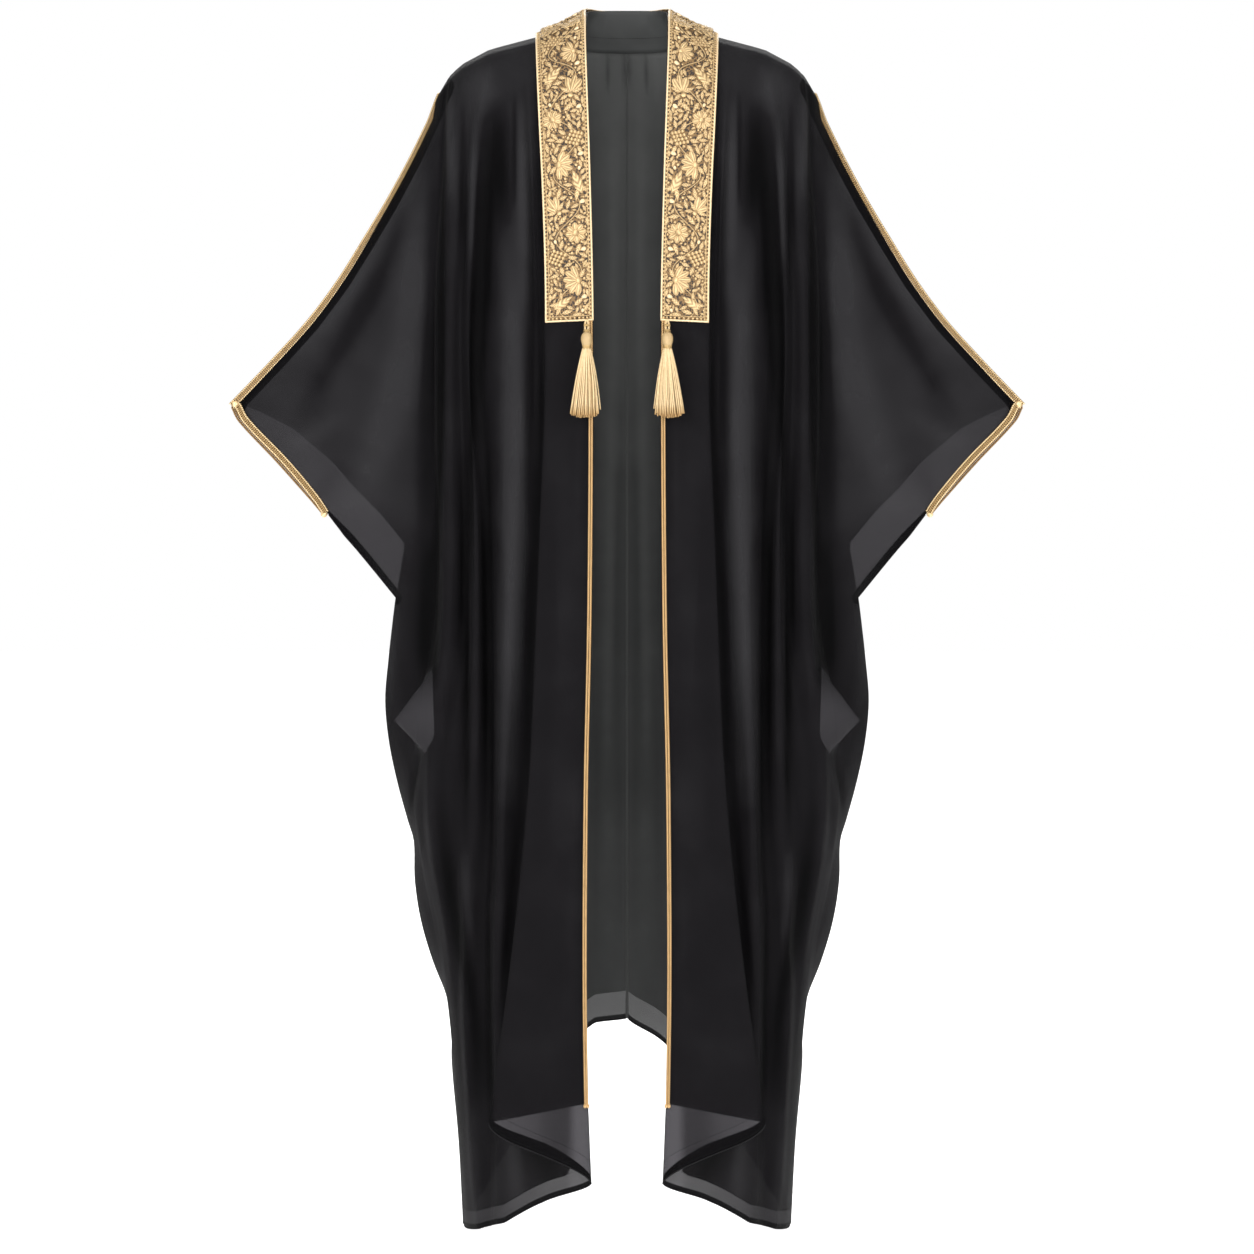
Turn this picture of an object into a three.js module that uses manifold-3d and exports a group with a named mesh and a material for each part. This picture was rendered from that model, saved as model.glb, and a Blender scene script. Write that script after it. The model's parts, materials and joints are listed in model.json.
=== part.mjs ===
// A wide-cut, open-front abaya (bisht cut) of thin black georgette, in the form it keeps
// when it is worn: +Z up, the front faces -Y, +X is the wearer's left, millimetres.
// The origin lies between the shoulders at neck level, where the wearer holds it up.
// Every panel is a closed wall of cloth: a middle surface, worked out from the tables
// of hanging fold lines, with half the cloth's thickness on either side of it.
import * as THREE from "three";
import Module from "manifold-3d";

const wasm = await Module();
wasm.setup();

// ---- driving sizes ----
const CLOTH = 1.6;
const SEAM_GAP = 0.3;
const TRIM_GAP = 0.5;
const BAND_THICK = 1.6;
const BAND_RELIEF = 1.3;
const BAND_END = -344.5;
const BRAID_WIDE = 8.2;
const BRAID_DEEP = 4.6;
const CUFF_BRAID_WIDE = 8.0;
const CUFF_BRAID_DEEP = 3.2;
const CUFF_BACK_DROP = 9.0;
const HAND_GAP = 11.0;
const PIPING_WIDE = 7.0;
const PIPING_DEEP = 3.0;
const PIPING_END = -1257;
const NECK_HALF = 105;
const NECK_DEEP = 68;
const STAND_HALF = 48;
const STAND_DEEP = 66;
const SHOULDER_ROUND = 165;
const SLEEVE_TIP = -442.7;
const CUFF_END = -573;
const UNDERARM = -671.5;
const HEM_SIDE = -1428.5;
const FLAP = { top: -749, point: -812.7, foot: -849, reach: 38 };

// Outline of one half seen from the front: the shoulder, the sleeve's top seam to its tip,
// the cuff, the sleeve's lower edge up to the underarm, and the side down to the hem corner.
const OUTLINE = [
  { at: 20, out: 47 }, { at: -9, out: 105 }, { at: -24, out: 162 }, { at: -43, out: 197 },
  { at: -71, out: 219 }, { at: -106, out: 236 }, { at: -153, out: 259.5 }, { at: -200, out: 285.5 },
  { at: -247, out: 314 }, { at: -295, out: 344.5 }, { at: -342, out: 380 }, { at: -389, out: 423 },
  { at: SLEEVE_TIP, out: 475 }, { at: -460, out: 466.5 }, { at: -508, out: 422 }, { at: -556, out: 378.5 },
  { at: CUFF_END, out: 362.5 }, { at: -603, out: 332.5 }, { at: -627, out: 312 }, { at: UNDERARM, out: 276 },
  { at: -699, out: 279.5 }, { at: -747, out: 285 }, { at: -795, out: 289 }, { at: -843, out: 285 },
  { at: -891, out: 275.5 }, { at: -940, out: 262.5 }, { at: -964, out: 255.6 }, { at: -1012, out: 254.5 },
  { at: -1060, out: 247.5 }, { at: -1109, out: 233.5 }, { at: -1157, out: 215 }, { at: -1182, out: 210.5 },
  { at: -1231, out: 211 }, { at: -1328, out: 203 }, { at: HEM_SIDE, out: 198 },
];

// Width, measured level, that the braid takes up outside the cloth's edge.
const BRAID_COVER = [
  { at: -84, out: 0 }, { at: -106, out: 11.2 }, { at: -342, out: 13.4 }, { at: SLEEVE_TIP, out: 13.6 },
  { at: -556, out: 12.6 }, { at: CUFF_END, out: 11 }, { at: -600, out: 0 },
];

// Heights (of the side line) at which the cloth is sectioned, shoulder to hem.
const FRONT_ROWS = [
  -71, -86, -106, -135, -170, -210, -255, -303, -353, -400, SLEEVE_TIP, -505, CUFF_END, -622, UNDERARM,
  -712, FLAP.top, -781, FLAP.point, FLAP.foot, -900, -965, -1040, -1110, -1185, -1262, -1350, HEM_SIDE,
];
const BACK_ROWS = [
  -71, -90, -115, -150, -200, -255, -320, -389, SLEEVE_TIP, -505, CUFF_END, -622, UNDERARM,
  -749, -820, -900, -965, -1055, -1157, -1231, -1328, HEM_SIDE,
];

// Heights read by the fold tables below: shoulder, chest, elbow, hip, calf, hem.
const HEIGHTS = [-20, -340, -670, -900, -1135, -1400];
const FRONT_DEPTH = [102, 117, 128, 134, 142, 152];
const BACK_DEPTH = [98, 116, 128, 138, 152, 162];

// Hanging lines of a front, from the opening outwards. out: distance from the centre line,
// fore: share of the front's depth, both at HEIGHTS; hem: height of the line's lower end;
// steps: how many strips of cloth lie between this line and the next.
const FRONT_LINES = [
  { name: "opening edge", out: [47, 39, 40, 45, 46.5, 42], fore: [1, 1, 1, 1, 1, 1], hem: -1343, steps: 3 },
  { name: "pleat edge", out: [105, 94, 104, 116, 141, 182], fore: [1, 0.99, 0.98, 0.97, 0.97, 0.95], hem: -1277, steps: 3 },
  { name: "pleat root", out: [109, 100, 82, 64, 50, 42], fore: [0.98, 0.93, 0.9, 0.87, 0.84, 0.81], hem: -1350, steps: 2 },
  { name: "first valley", out: [117, 107, 115, 124, 118, 98], fore: [0.96, 0.87, 0.82, 0.78, 0.73, 0.66], hem: -1380, steps: 2 },
  { name: "first ridge", out: [130, 124, 138, 146, 152, 144], fore: [1, 0.98, 0.96, 0.9, 0.8, 0.7], hem: -1403, steps: 2 },
  { name: "second valley", out: [150, 172, 160, 162, 170, 163], fore: [0.95, 0.74, 0.72, 0.68, 0.6, 0.54], hem: -1413, steps: 1 },
  { name: "second ridge", out: [164, 184, 175, 184, 190, 176], fore: [0.96, 0.79, 0.82, 0.76, 0.62, 0.5], hem: -1418, steps: 1 },
  { name: "third valley", out: [178, 194, 189, 206, 199, 184], fore: [0.86, 0.69, 0.62, 0.6, 0.48, 0.4], hem: -1422, steps: 1 },
  { name: "third ridge", out: [192, 206, 208, 229, 206, 190], fore: [0.82, 0.76, 0.72, 0.62, 0.4, 0.3], hem: -1425, steps: 1 },
  { name: "sleeve crease edge", out: [204, 222, 222, 240, 212, 193], fore: [0.66, 0.62, 0.58, 0.5, 0.3, 0.22], hem: -1427, steps: 2 },
  { name: "sleeve crease root", out: [208, 228, 230, 252, 215.5, 195], fore: [0.58, 0.34, 0.36, 0.34, 0.22, 0.15], hem: -1428, steps: 6 },
];

// Hanging lines of a back, from the centre-back seam outwards. The hem of the left back
// drops a little faster beside the seam than the right one, by each line's lean.
const BACK_LINES = [
  { name: "centre seam", out: [1, 1, 1, 1, 1, 1], fore: [0.97, 0.96, 0.95, 0.94, 0.94, 0.94], hem: -1206, lean: 0, steps: 2 },
  { name: "first ridge", out: [34, 36, 34, 38, 40, 40], fore: [1, 1, 1, 1, 1, 1], hem: -1213, lean: -20, steps: 2 },
  { name: "first valley", out: [68, 68, 66, 70, 70, 66], fore: [0.99, 0.93, 0.91, 0.9, 0.9, 0.91], hem: -1234, lean: -24, steps: 2 },
  { name: "second ridge", out: [105, 103, 98, 102, 98, 92], fore: [1, 0.99, 0.99, 1, 0.98, 0.98], hem: -1272, lean: -14, steps: 2 },
  { name: "second valley", out: [142, 140, 134, 140, 130, 120], fore: [0.98, 0.86, 0.83, 0.84, 0.82, 0.82], hem: -1325, lean: 0, steps: 2 },
  { name: "third ridge", out: [176, 178, 172, 178, 162, 150], fore: [0.92, 0.88, 0.88, 0.86, 0.8, 0.78], hem: -1372, lean: 0, steps: 2 },
  { name: "sleeve crease edge", out: [204, 218, 216, 222, 192, 176], fore: [0.74, 0.66, 0.64, 0.64, 0.56, 0.52], hem: -1408, lean: 0, steps: 1 },
  { name: "sleeve crease root", out: [209, 229, 232, 246, 207, 190], fore: [0.58, 0.38, 0.4, 0.4, 0.3, 0.26], hem: -1424, lean: 0, steps: 5 },
];

// ---- helpers ----
const mix = (a, b, t) => a + (b - a) * t;
const clamp = (t) => Math.min(1, Math.max(0, t));
const fadeOut = (t) => (t < 1 ? (1 - t) * (1 - t) : 0);

// Smooth curve through values read at falling heights, level beyond both ends.
function readAt(heights, values, z) {
  const last = heights.length - 1;
  if (z >= heights[0]) return values[0];
  if (z <= heights[last]) return values[last];
  let k = 0;
  while (z < heights[k + 1]) k += 1;
  const slope = (i) => {
    const a = Math.max(0, i - 1);
    const b = Math.min(last, i + 1);
    return (values[b] - values[a]) / (heights[b] - heights[a]);
  };
  const h = heights[k + 1] - heights[k];
  const t = (z - heights[k]) / h;
  const m0 = slope(k) * h;
  const m1 = slope(k + 1) * h;
  const t2 = t * t;
  const t3 = t2 * t;
  return values[k] * (2 * t3 - 3 * t2 + 1) + m0 * (t3 - 2 * t2 + t) + values[k + 1] * (3 * t2 - 2 * t3) + m1 * (t3 - t2);
}

// Straight-line reading of a table by height, and of the outline the other way round.
function readTable(table, z) {
  if (z >= table[0].at) return table[0].out;
  for (let i = 1; i < table.length; i += 1) {
    const a = table[i - 1];
    const b = table[i];
    if (z >= b.at) return mix(a.out, b.out, (a.at - z) / (a.at - b.at));
  }
  return table[table.length - 1].out;
}

const outlineOut = (z) => readTable(OUTLINE, z);

function ridgeHeight(out) {
  for (let i = 1; i < OUTLINE.length; i += 1) {
    const a = OUTLINE[i - 1];
    const b = OUTLINE[i];
    if (out <= b.out) return mix(a.at, b.at, (out - a.out) / (b.out - a.out));
  }
  return OUTLINE[4].at;
}

// How far along the cuff a height lies (0 at the sleeve tip, 1 at the cuff's lower end).
const cuffShare = (z) => clamp((SLEEVE_TIP - z) / (SLEEVE_TIP - CUFF_END));
const cuffSwell = (z) => Math.pow(Math.sin(Math.PI * cuffShare(z)), 0.6);

// The cloth stops short of the outline where braid covers its edge, and the front of
// the hand opening is cut a little shorter than the back.
function clothEdge(z, facing) {
  const drop = CUFF_BACK_DROP * cuffSwell(z) + 5 * fadeOut(Math.abs(z - SLEEVE_TIP) / 45);
  return outlineOut(z) - readTable(BRAID_COVER, z) - (facing < 0 ? Math.min(drop, CUFF_BACK_DROP * 1.3) : 0);
}

// A smooth curve across a section, through its lines; each line gives its own strips.
function acrossLines(points, steps) {
  const out = [];
  const tangent = (i, key) => {
    const a = points[Math.max(0, i - 1)];
    const b = points[Math.min(points.length - 1, i + 1)];
    return (b[key] - a[key]) / 2;
  };
  for (let i = 0; i < points.length - 1; i += 1) {
    for (let k = 0; k < steps[i]; k += 1) {
      const t = k / steps[i];
      const t2 = t * t;
      const t3 = t2 * t;
      const at = ["x", "y", "z"].map((key) => {
        const a = points[i][key];
        const b = points[i + 1][key];
        const reach = 2 * Math.abs(b - a);
        const m0 = Math.max(-reach, Math.min(reach, tangent(i, key)));
        const m1 = Math.max(-reach, Math.min(reach, tangent(i + 1, key)));
        if (key === "z") return mix(a, b, t);
        return a * (2 * t3 - 3 * t2 + 1) + m0 * (t3 - 2 * t2 + t) + b * (3 * t2 - 2 * t3) + m1 * (t3 - t2);
      });
      out.push(new THREE.Vector3(at[0], at[1], at[2]));
    }
  }
  const end = points[points.length - 1];
  out.push(new THREE.Vector3(end.x, end.y, end.z));
  return out;
}

// How far the small side flap swings out over the side at a height.
function flapReach(z) {
  if (z > FLAP.top || z < FLAP.foot) return 0;
  if (z > FLAP.point) return FLAP.reach * Math.pow((FLAP.top - z) / (FLAP.top - FLAP.point), 1.15);
  return FLAP.reach * ((z - FLAP.foot) / (FLAP.point - FLAP.foot));
}

// The neck seam seen from above: half an ellipse behind the shoulders.
const neckBack = (out) => NECK_DEEP * Math.sqrt(Math.max(0, 1 - (out / NECK_HALF) ** 2));

// Middle surface of a front (facing -1) or a back (facing +1), out to the +X side.
function panelGrid(lines, rows, depths, facing, lean) {
  const steps = lines.map((line) => line.steps);
  const top = rows[0];
  const foot = rows[rows.length - 1];
  return rows.map((row) => {
    const v = (top - row) / (top - foot);
    const points = lines.map((line) => {
      const first = line.out[0];
      const onNeck = facing > 0 && first < NECK_HALF;
      const lineTop = onNeck ? -18 + 9 * (first / NECK_HALF) ** 2 : ridgeHeight(first);
      const hem = line.hem + lean * (line.lean ?? 0);
      const z = row + (lineTop - top) * fadeOut(v / 0.3) + (hem - foot) * fadeOut((1 - v) / 0.6);
      let x = readAt(HEIGHTS, line.out, z);
      const full = readAt(HEIGHTS, depths, z) * readAt(HEIGHTS, line.fore, z);
      const start = onNeck ? 1 - Math.sqrt(1 - (neckBack(x) / full) ** 2) : 0;
      const drop = clamp(start + ((lineTop - z) / SHOULDER_ROUND) * (1 - start));
      if (line.name === "sleeve crease edge" && facing < 0) x += flapReach(row);
      return { x, y: facing * full * Math.sqrt(1 - (1 - drop) ** 2), z };
    });
    const root = points[points.length - 1];
    const handGap = HAND_GAP * cuffSwell(row) * (row < SLEEVE_TIP ? 1 : 0);
    points.push({ x: clothEdge(row, facing), y: facing * handGap, z: row });
    const section = acrossLines(points, steps);
    const wing = steps[steps.length - 1];
    const edge = points[points.length - 1];
    for (let k = 1; k < wing; k += 1) {
      const t = k / wing;
      const p = section[section.length - 1 - wing + k];
      const sag = Math.sin(Math.PI * t) * 5 * clamp((row + 1250) / 500);
      p.set(mix(root.x, edge.x, t), mix(root.y, edge.y, Math.pow(t, 0.85)) + facing * sag, mix(root.z, edge.z, t));
    }
    return section;
  });
}

// Unit normals of a grid, pointing away from the wearer.
function gridNormals(grid, facing) {
  const rows = grid.length;
  const cols = grid[0].length;
  return grid.map((row, j) =>
    row.map((p, i) => {
      const across = new THREE.Vector3().subVectors(grid[j][Math.min(cols - 1, i + 1)], grid[j][Math.max(0, i - 1)]);
      const down = new THREE.Vector3().subVectors(grid[Math.min(rows - 1, j + 1)][i], grid[Math.max(0, j - 1)][i]);
      return new THREE.Vector3().crossVectors(across, down).multiplyScalar(facing).normalize();
    })
  );
}

// A closed wall between two grids of points: outer side, inner side and the four edges.
function wallBetween(outer, inner) {
  const rows = outer.length;
  const cols = outer[0].length;
  const points = [...outer.flat(), ...inner.flat()];
  const at = (side, j, i) => side * rows * cols + j * cols + i;
  const faces = [];
  const quad = (a, b, c, d) => faces.push([a, b, c], [a, c, d]);
  for (let j = 0; j < rows - 1; j += 1) {
    for (let i = 0; i < cols - 1; i += 1) {
      quad(at(0, j, i), at(0, j, i + 1), at(0, j + 1, i + 1), at(0, j + 1, i));
      quad(at(1, j, i), at(1, j + 1, i), at(1, j + 1, i + 1), at(1, j, i + 1));
    }
  }
  for (let i = 0; i < cols - 1; i += 1) {
    quad(at(0, 0, i), at(1, 0, i), at(1, 0, i + 1), at(0, 0, i + 1));
    quad(at(0, rows - 1, i), at(0, rows - 1, i + 1), at(1, rows - 1, i + 1), at(1, rows - 1, i));
  }
  for (let j = 0; j < rows - 1; j += 1) {
    quad(at(0, j, 0), at(0, j + 1, 0), at(1, j + 1, 0), at(1, j, 0));
    quad(at(0, j, cols - 1), at(1, j, cols - 1), at(1, j + 1, cols - 1), at(0, j + 1, cols - 1));
  }
  return closedSolid(points, faces);
}

// Geometry from points and faces, turned so that every face looks outwards.
function closedSolid(points, faces) {
  let volume = 0;
  const cross = new THREE.Vector3();
  faces.forEach(([a, b, c]) => {
    volume += points[a].dot(cross.crossVectors(points[b], points[c]));
  });
  const geometry = new THREE.BufferGeometry();
  geometry.setAttribute("position", new THREE.Float32BufferAttribute(points.flatMap((p) => [p.x, p.y, p.z]), 3));
  geometry.setIndex(faces.flatMap(([a, b, c]) => (volume > 0 ? [a, b, c] : [a, c, b])));
  return geometry;
}

// Cloth of even thickness about a middle surface. A joined edge stops short of the
// plane y = 0, so that the piece on its other side is just the seam gap away.
function clothWall(grid, facing, joined) {
  const normals = gridNormals(grid, facing);
  const cols = grid[0].length;
  grid.forEach((row, j) =>
    row.forEach((p, i) => {
      if (joined(j, i, cols)) p.y = facing * (SEAM_GAP / 2 + (CLOTH / 2) * Math.abs(normals[j][i].y));
    })
  );
  const side = (sign) =>
    grid.map((row, j) => row.map((p, i) => p.clone().addScaledVector(normals[j][i], (sign * CLOTH) / 2)));
  return { outer: side(1), inner: side(-1), normals };
}

const mirrored = (grid) => grid.map((row) => row.map((p) => new THREE.Vector3(-p.x, p.y, p.z)));

// A rod of elliptical section along a path; wide lies along each point's own direction.
function braidRod(path, wideDirs, wide, deep, sides, closed) {
  const count = path.length;
  const points = [];
  path.forEach((p, k) => {
    const before = path[closed ? (k + count - 1) % count : Math.max(0, k - 1)];
    const after = path[closed ? (k + 1) % count : Math.min(count - 1, k + 1)];
    const tangent = new THREE.Vector3().subVectors(after, before).normalize();
    const across = wideDirs[k].clone().addScaledVector(tangent, -wideDirs[k].dot(tangent)).normalize();
    const up = new THREE.Vector3().crossVectors(tangent, across);
    for (let s = 0; s < sides; s += 1) {
      const a = (2 * Math.PI * s) / sides;
      points.push(p.clone().addScaledVector(across, (Math.cos(a) * wide) / 2).addScaledVector(up, (Math.sin(a) * deep) / 2));
    }
  });
  const faces = [];
  const spans = closed ? count : count - 1;
  for (let k = 0; k < spans; k += 1) {
    const n = (k + 1) % count;
    for (let s = 0; s < sides; s += 1) {
      const t = (s + 1) % sides;
      faces.push([k * sides + s, k * sides + t, n * sides + t], [k * sides + s, n * sides + t, n * sides + s]);
    }
  }
  if (!closed) {
    for (let s = 1; s < sides - 1; s += 1) {
      faces.push([0, s + 1, s]);
      faces.push([(count - 1) * sides, (count - 1) * sides + s, (count - 1) * sides + s + 1]);
    }
  }
  return closedSolid(points, faces);
}

// ---- panels ----
const openCuff = (z) => z < SLEEVE_TIP - 1 && z > CUFF_END + 1;

const frontGrid = panelGrid(FRONT_LINES, FRONT_ROWS, FRONT_DEPTH, -1, 0);
const frontJoined = (j, i, cols) => j === 0 || (i === cols - 1 && !openCuff(FRONT_ROWS[j]));
const frontWall = clothWall(frontGrid, -1, frontJoined);

// A back stops half a seam gap short of the centre plane, its neck edge stays free.
function backPanel(lean) {
  const grid = panelGrid(BACK_LINES, BACK_ROWS, BACK_DEPTH, 1, lean);
  const onShoulder = grid[0].map((p) => p.x >= NECK_HALF - 0.01);
  const joined = (j, i, cols) => (i === cols - 1 ? !openCuff(BACK_ROWS[j]) : j === 0 && onShoulder[i]);
  const wall = clothWall(grid, 1, joined);
  [wall.outer, wall.inner].forEach((side) =>
    side.forEach((row) => {
      row[0].x = SEAM_GAP / 2;
    })
  );
  return wall;
}

// ---- the stand inside the back of the neck ----
const STAND_SECTIONS = 8;
const STAND_ROWS = 3;
function standSection(k) {
  const a = (Math.PI / 2) * (k / STAND_SECTIONS);
  const c = Math.max(0, Math.cos(a));
  const s = Math.sin(a);
  const low = new THREE.Vector3((NECK_HALF - 1.8) * c, 0.4 + (NECK_DEEP - 0.9) * s, 9 * c * c + 1.7 * Math.min(1, 3 * s) - 17);
  const high = new THREE.Vector3(STAND_HALF * Math.sqrt(c), 0.4 + (STAND_DEEP - 0.4) * Math.pow(s, 0.8), 20.3 + 8.3 * s);
  const section = [];
  for (let r = 0; r <= STAND_ROWS; r += 1) section.push(low.clone().lerp(high, r / STAND_ROWS));
  return section;
}
const standHalf = [];
for (let k = 0; k <= STAND_SECTIONS; k += 1) standHalf.push(standSection(k));
const standGrid = [...standHalf, ...mirrored(standHalf.slice(0, STAND_SECTIONS)).reverse()];
const standNormals = gridNormals(standGrid, -1);
standNormals.forEach((row, k) => {
  if (k === 0 || k === standNormals.length - 1) row.forEach((n) => n.setY(0).normalize());
});
const standSide = (sign) =>
  standGrid.map((row, k) => row.map((p, r) => p.clone().addScaledVector(standNormals[k][r], (sign * CLOTH) / 2)));

// ---- the embroidered collar band: lies on the front's edge strip, then round the stand ----
const BAND_COLS = FRONT_LINES[0].steps;
const BAND_SPLIT = 2;
const BAND_ROW_SPLIT = 2;
const BAND_ON_STAND = 1.5;
function bandBase() {
  const rows = [];
  const endRow = frontGrid.findIndex((row) => row[0].z < BAND_END + 3);
  for (let j = endRow; j >= 0; j -= 1) {
    const points = frontGrid[j].slice(0, BAND_COLS + 1).map((p) => p.clone());
    const normals = frontWall.normals[j].slice(0, BAND_COLS + 1).map((n) => n.clone());
    if (j === 0) points.forEach((p) => p.setY(0.3));
    rows.push({ points, normals });
  }
  for (let k = 1; k <= STAND_SECTIONS; k += 1) {
    const points = standHalf[k].map((p) => p.clone()).reverse();
    const normals = standNormals[k].map((n) => n.clone()).reverse();
    rows.push({ points, normals });
  }
  return rows;
}

// Points between those of a coarse grid, on its own straight strips.
function subdivided(rows, acrossParts, alongParts) {
  const wide = (row) => {
    const points = [];
    const normals = [];
    for (let i = 0; i < row.points.length - 1; i += 1) {
      for (let k = 0; k < acrossParts; k += 1) {
        points.push(row.points[i].clone().lerp(row.points[i + 1], k / acrossParts));
        normals.push(row.normals[i].clone().lerp(row.normals[i + 1], k / acrossParts));
      }
    }
    points.push(row.points[row.points.length - 1]);
    normals.push(row.normals[row.normals.length - 1]);
    return { points, normals };
  };
  const coarse = rows.map(wide);
  const fine = [];
  for (let j = 0; j < coarse.length - 1; j += 1) {
    for (let k = 0; k < alongParts; k += 1) {
      const t = k / alongParts;
      fine.push({
        points: coarse[j].points.map((p, i) => p.clone().lerp(coarse[j + 1].points[i], t)),
        normals: coarse[j].normals.map((n, i) => n.clone().lerp(coarse[j + 1].normals[i], t)),
      });
    }
  }
  fine.push(coarse[coarse.length - 1]);
  return fine;
}

// Relief of the band: a cord along both edges and a running row of blossoms and leaves.
function bandRelief(along, across, ends) {
  const rim = Math.min(across, 1 - across) < 0.02 ? 0.75 : 0;
  const stem = 0.5 + 0.22 * Math.sin((2 * Math.PI * along) / 76);
  const blossom = Math.exp(-(((across - stem) / 0.2) ** 2)) * (0.6 + 0.4 * Math.cos((2 * Math.PI * along) / 38));
  return ends ? 0.75 : Math.max(rim, 0.25 + 0.75 * blossom);
}

function collarBand(sign) {
  const rows = subdivided(bandBase(), BAND_SPLIT, BAND_ROW_SPLIT);
  const cols = rows[0].points.length;
  let along = 0;
  const outer = [];
  const inner = [];
  rows.forEach((row, j) => {
    if (j > 0) along += row.points[3].distanceTo(rows[j - 1].points[3]);
    const place = (i, out) => {
      const n = row.normals[i].clone().normalize();
      const lift = CLOTH / 2 + TRIM_GAP + BAND_ON_STAND * clamp((row.points[i].y + 20) / 25);
      const p = row.points[i].clone().addScaledVector(n, lift + out);
      if (j === rows.length - 1) p.x = SEAM_GAP / 2;
      return new THREE.Vector3(sign * p.x, p.y, p.z);
    };
    const relief = (i) => BAND_RELIEF * bandRelief(along, i / (cols - 1), j === 0);
    outer.push(row.points.map((p, i) => place(i, BAND_THICK + relief(i))));
    inner.push(row.points.map((p, i) => place(i, 0)));
  });
  return wallBetween(outer, inner);
}

// ---- gold trims ----
// Outward direction of the outline in the plane of the sleeve.
function outlineNormal(z) {
  const step = 6;
  const a = outlineOut(z + step);
  const b = outlineOut(z - step);
  return new THREE.Vector3(2 * step, 0, b - a).normalize();
}

function sleeveTopBraid(sign) {
  const start = -110;
  const end = SLEEVE_TIP + 9;
  const count = 15;
  const path = [];
  const dirs = [];
  for (let k = 0; k < count; k += 1) {
    const z = mix(start, end, k / (count - 1));
    const n = outlineNormal(Math.max(z, SLEEVE_TIP + 8));
    path.push(new THREE.Vector3(sign * (outlineOut(z) - (n.x * BRAID_WIDE) / 2), 0, z - (n.z * BRAID_WIDE) / 2));
    dirs.push(new THREE.Vector3(sign * n.x, 0, n.z));
  }
  return braidRod(path, dirs, BRAID_WIDE, BRAID_DEEP, 8, false);
}

function cuffBraid(sign) {
  const count = 13;
  const path = [];
  const dirs = [];
  const n = new THREE.Vector3(0.735, 0, -0.678);
  const leg = (facing, k) => {
    const t = k / (count - 1);
    const z = mix(SLEEVE_TIP - 1, CUFF_END + 3, t);
    const out = clothEdge(z, facing) + 1.8 + CUFF_BRAID_WIDE / 2 / n.x;
    const gap = 2.5 + (HAND_GAP - 1.5) * cuffSwell(z);
    path.push(new THREE.Vector3(sign * out, facing * gap, z));
    dirs.push(new THREE.Vector3(sign * n.x, 0, n.z));
  };
  for (let k = 0; k < count; k += 1) leg(-1, k);
  for (let k = count - 1; k >= 0; k -= 1) leg(1, k);
  return braidRod(path, dirs, CUFF_BRAID_WIDE, CUFF_BRAID_DEEP, 8, true);
}

function frontPiping(sign) {
  const path = [];
  const dirs = [];
  const lift = CLOTH / 2 + TRIM_GAP + PIPING_DEEP / 2;
  const startRow = frontGrid.findIndex((row) => row[0].z < BAND_END + 3);
  const place = (j, t) => {
    const k = Math.min(j + 1, frontGrid.length - 1);
    const edge = frontGrid[j][0].clone().lerp(frontGrid[k][0], t);
    const next = frontGrid[j][1].clone().lerp(frontGrid[k][1], t);
    const normal = frontWall.normals[j][0].clone().lerp(frontWall.normals[k][0], t).normalize();
    const inward = next.sub(edge).normalize();
    const p = edge.addScaledVector(inward, PIPING_WIDE / 2 - 1).addScaledVector(normal, lift);
    path.push(new THREE.Vector3(sign * p.x, p.y, p.z));
    dirs.push(new THREE.Vector3(sign * inward.x, inward.y, inward.z));
  };
  place(startRow, 0.015);
  for (let j = startRow + 1; frontGrid[j][0].z > PIPING_END; j += 1) {
    if (frontGrid[j + 1][0].z > PIPING_END) place(j, 0);
    else {
      place(j, 0);
      place(j, (frontGrid[j][0].z - PIPING_END) / (frontGrid[j][0].z - frontGrid[j + 1][0].z));
    }
  }
  return braidRod(path, dirs, PIPING_WIDE, PIPING_DEEP, 8, false);
}

// ---- tassels ----
const TASSEL = { out: 46.5, fore: -138.5, hook: -122.3, flat: 0.62, headTop: -360, headFoot: -379, end: -457 };
const TASSEL_RINGS = [
  { strands: 15, neck: 5.2, hem: 18.0, root: 1.5, tip: 4.8 },
  { strands: 9, neck: 3.1, hem: 11.0, root: 1.2, tip: 4.4 },
  { strands: 4, neck: 1.2, hem: 4.6, root: 0.9, tip: 3.4 },
];

function toManifold(geometry) {
  const mesh = new wasm.Mesh({
    numProp: 3,
    vertProperties: new Float32Array(geometry.attributes.position.array),
    triVerts: new Uint32Array(geometry.index.array),
  });
  mesh.merge();
  return new wasm.Manifold(mesh);
}

function fromManifold(solid) {
  const mesh = solid.getMesh();
  const geometry = new THREE.BufferGeometry();
  geometry.setAttribute("position", new THREE.Float32BufferAttribute(Array.from(mesh.vertProperties), 3));
  geometry.setIndex(Array.from(mesh.triVerts));
  return geometry;
}

function turnedSolid(profile, sides) {
  const points = [];
  profile.forEach(({ r, z }) => {
    for (let s = 0; s < sides; s += 1) {
      const a = (2 * Math.PI * s) / sides;
      points.push(new THREE.Vector3(r * Math.cos(a), r * Math.sin(a), z));
    }
  });
  const faces = [];
  for (let k = 0; k < profile.length - 1; k += 1) {
    for (let s = 0; s < sides; s += 1) {
      const t = (s + 1) % sides;
      faces.push([k * sides + s, k * sides + t, (k + 1) * sides + t]);
      faces.push([k * sides + s, (k + 1) * sides + t, (k + 1) * sides + s]);
    }
  }
  for (let s = 1; s < sides - 1; s += 1) {
    const last = (profile.length - 1) * sides;
    faces.push([0, s + 1, s], [last, last + s, last + s + 1]);
  }
  return closedSolid(points, faces);
}

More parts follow.
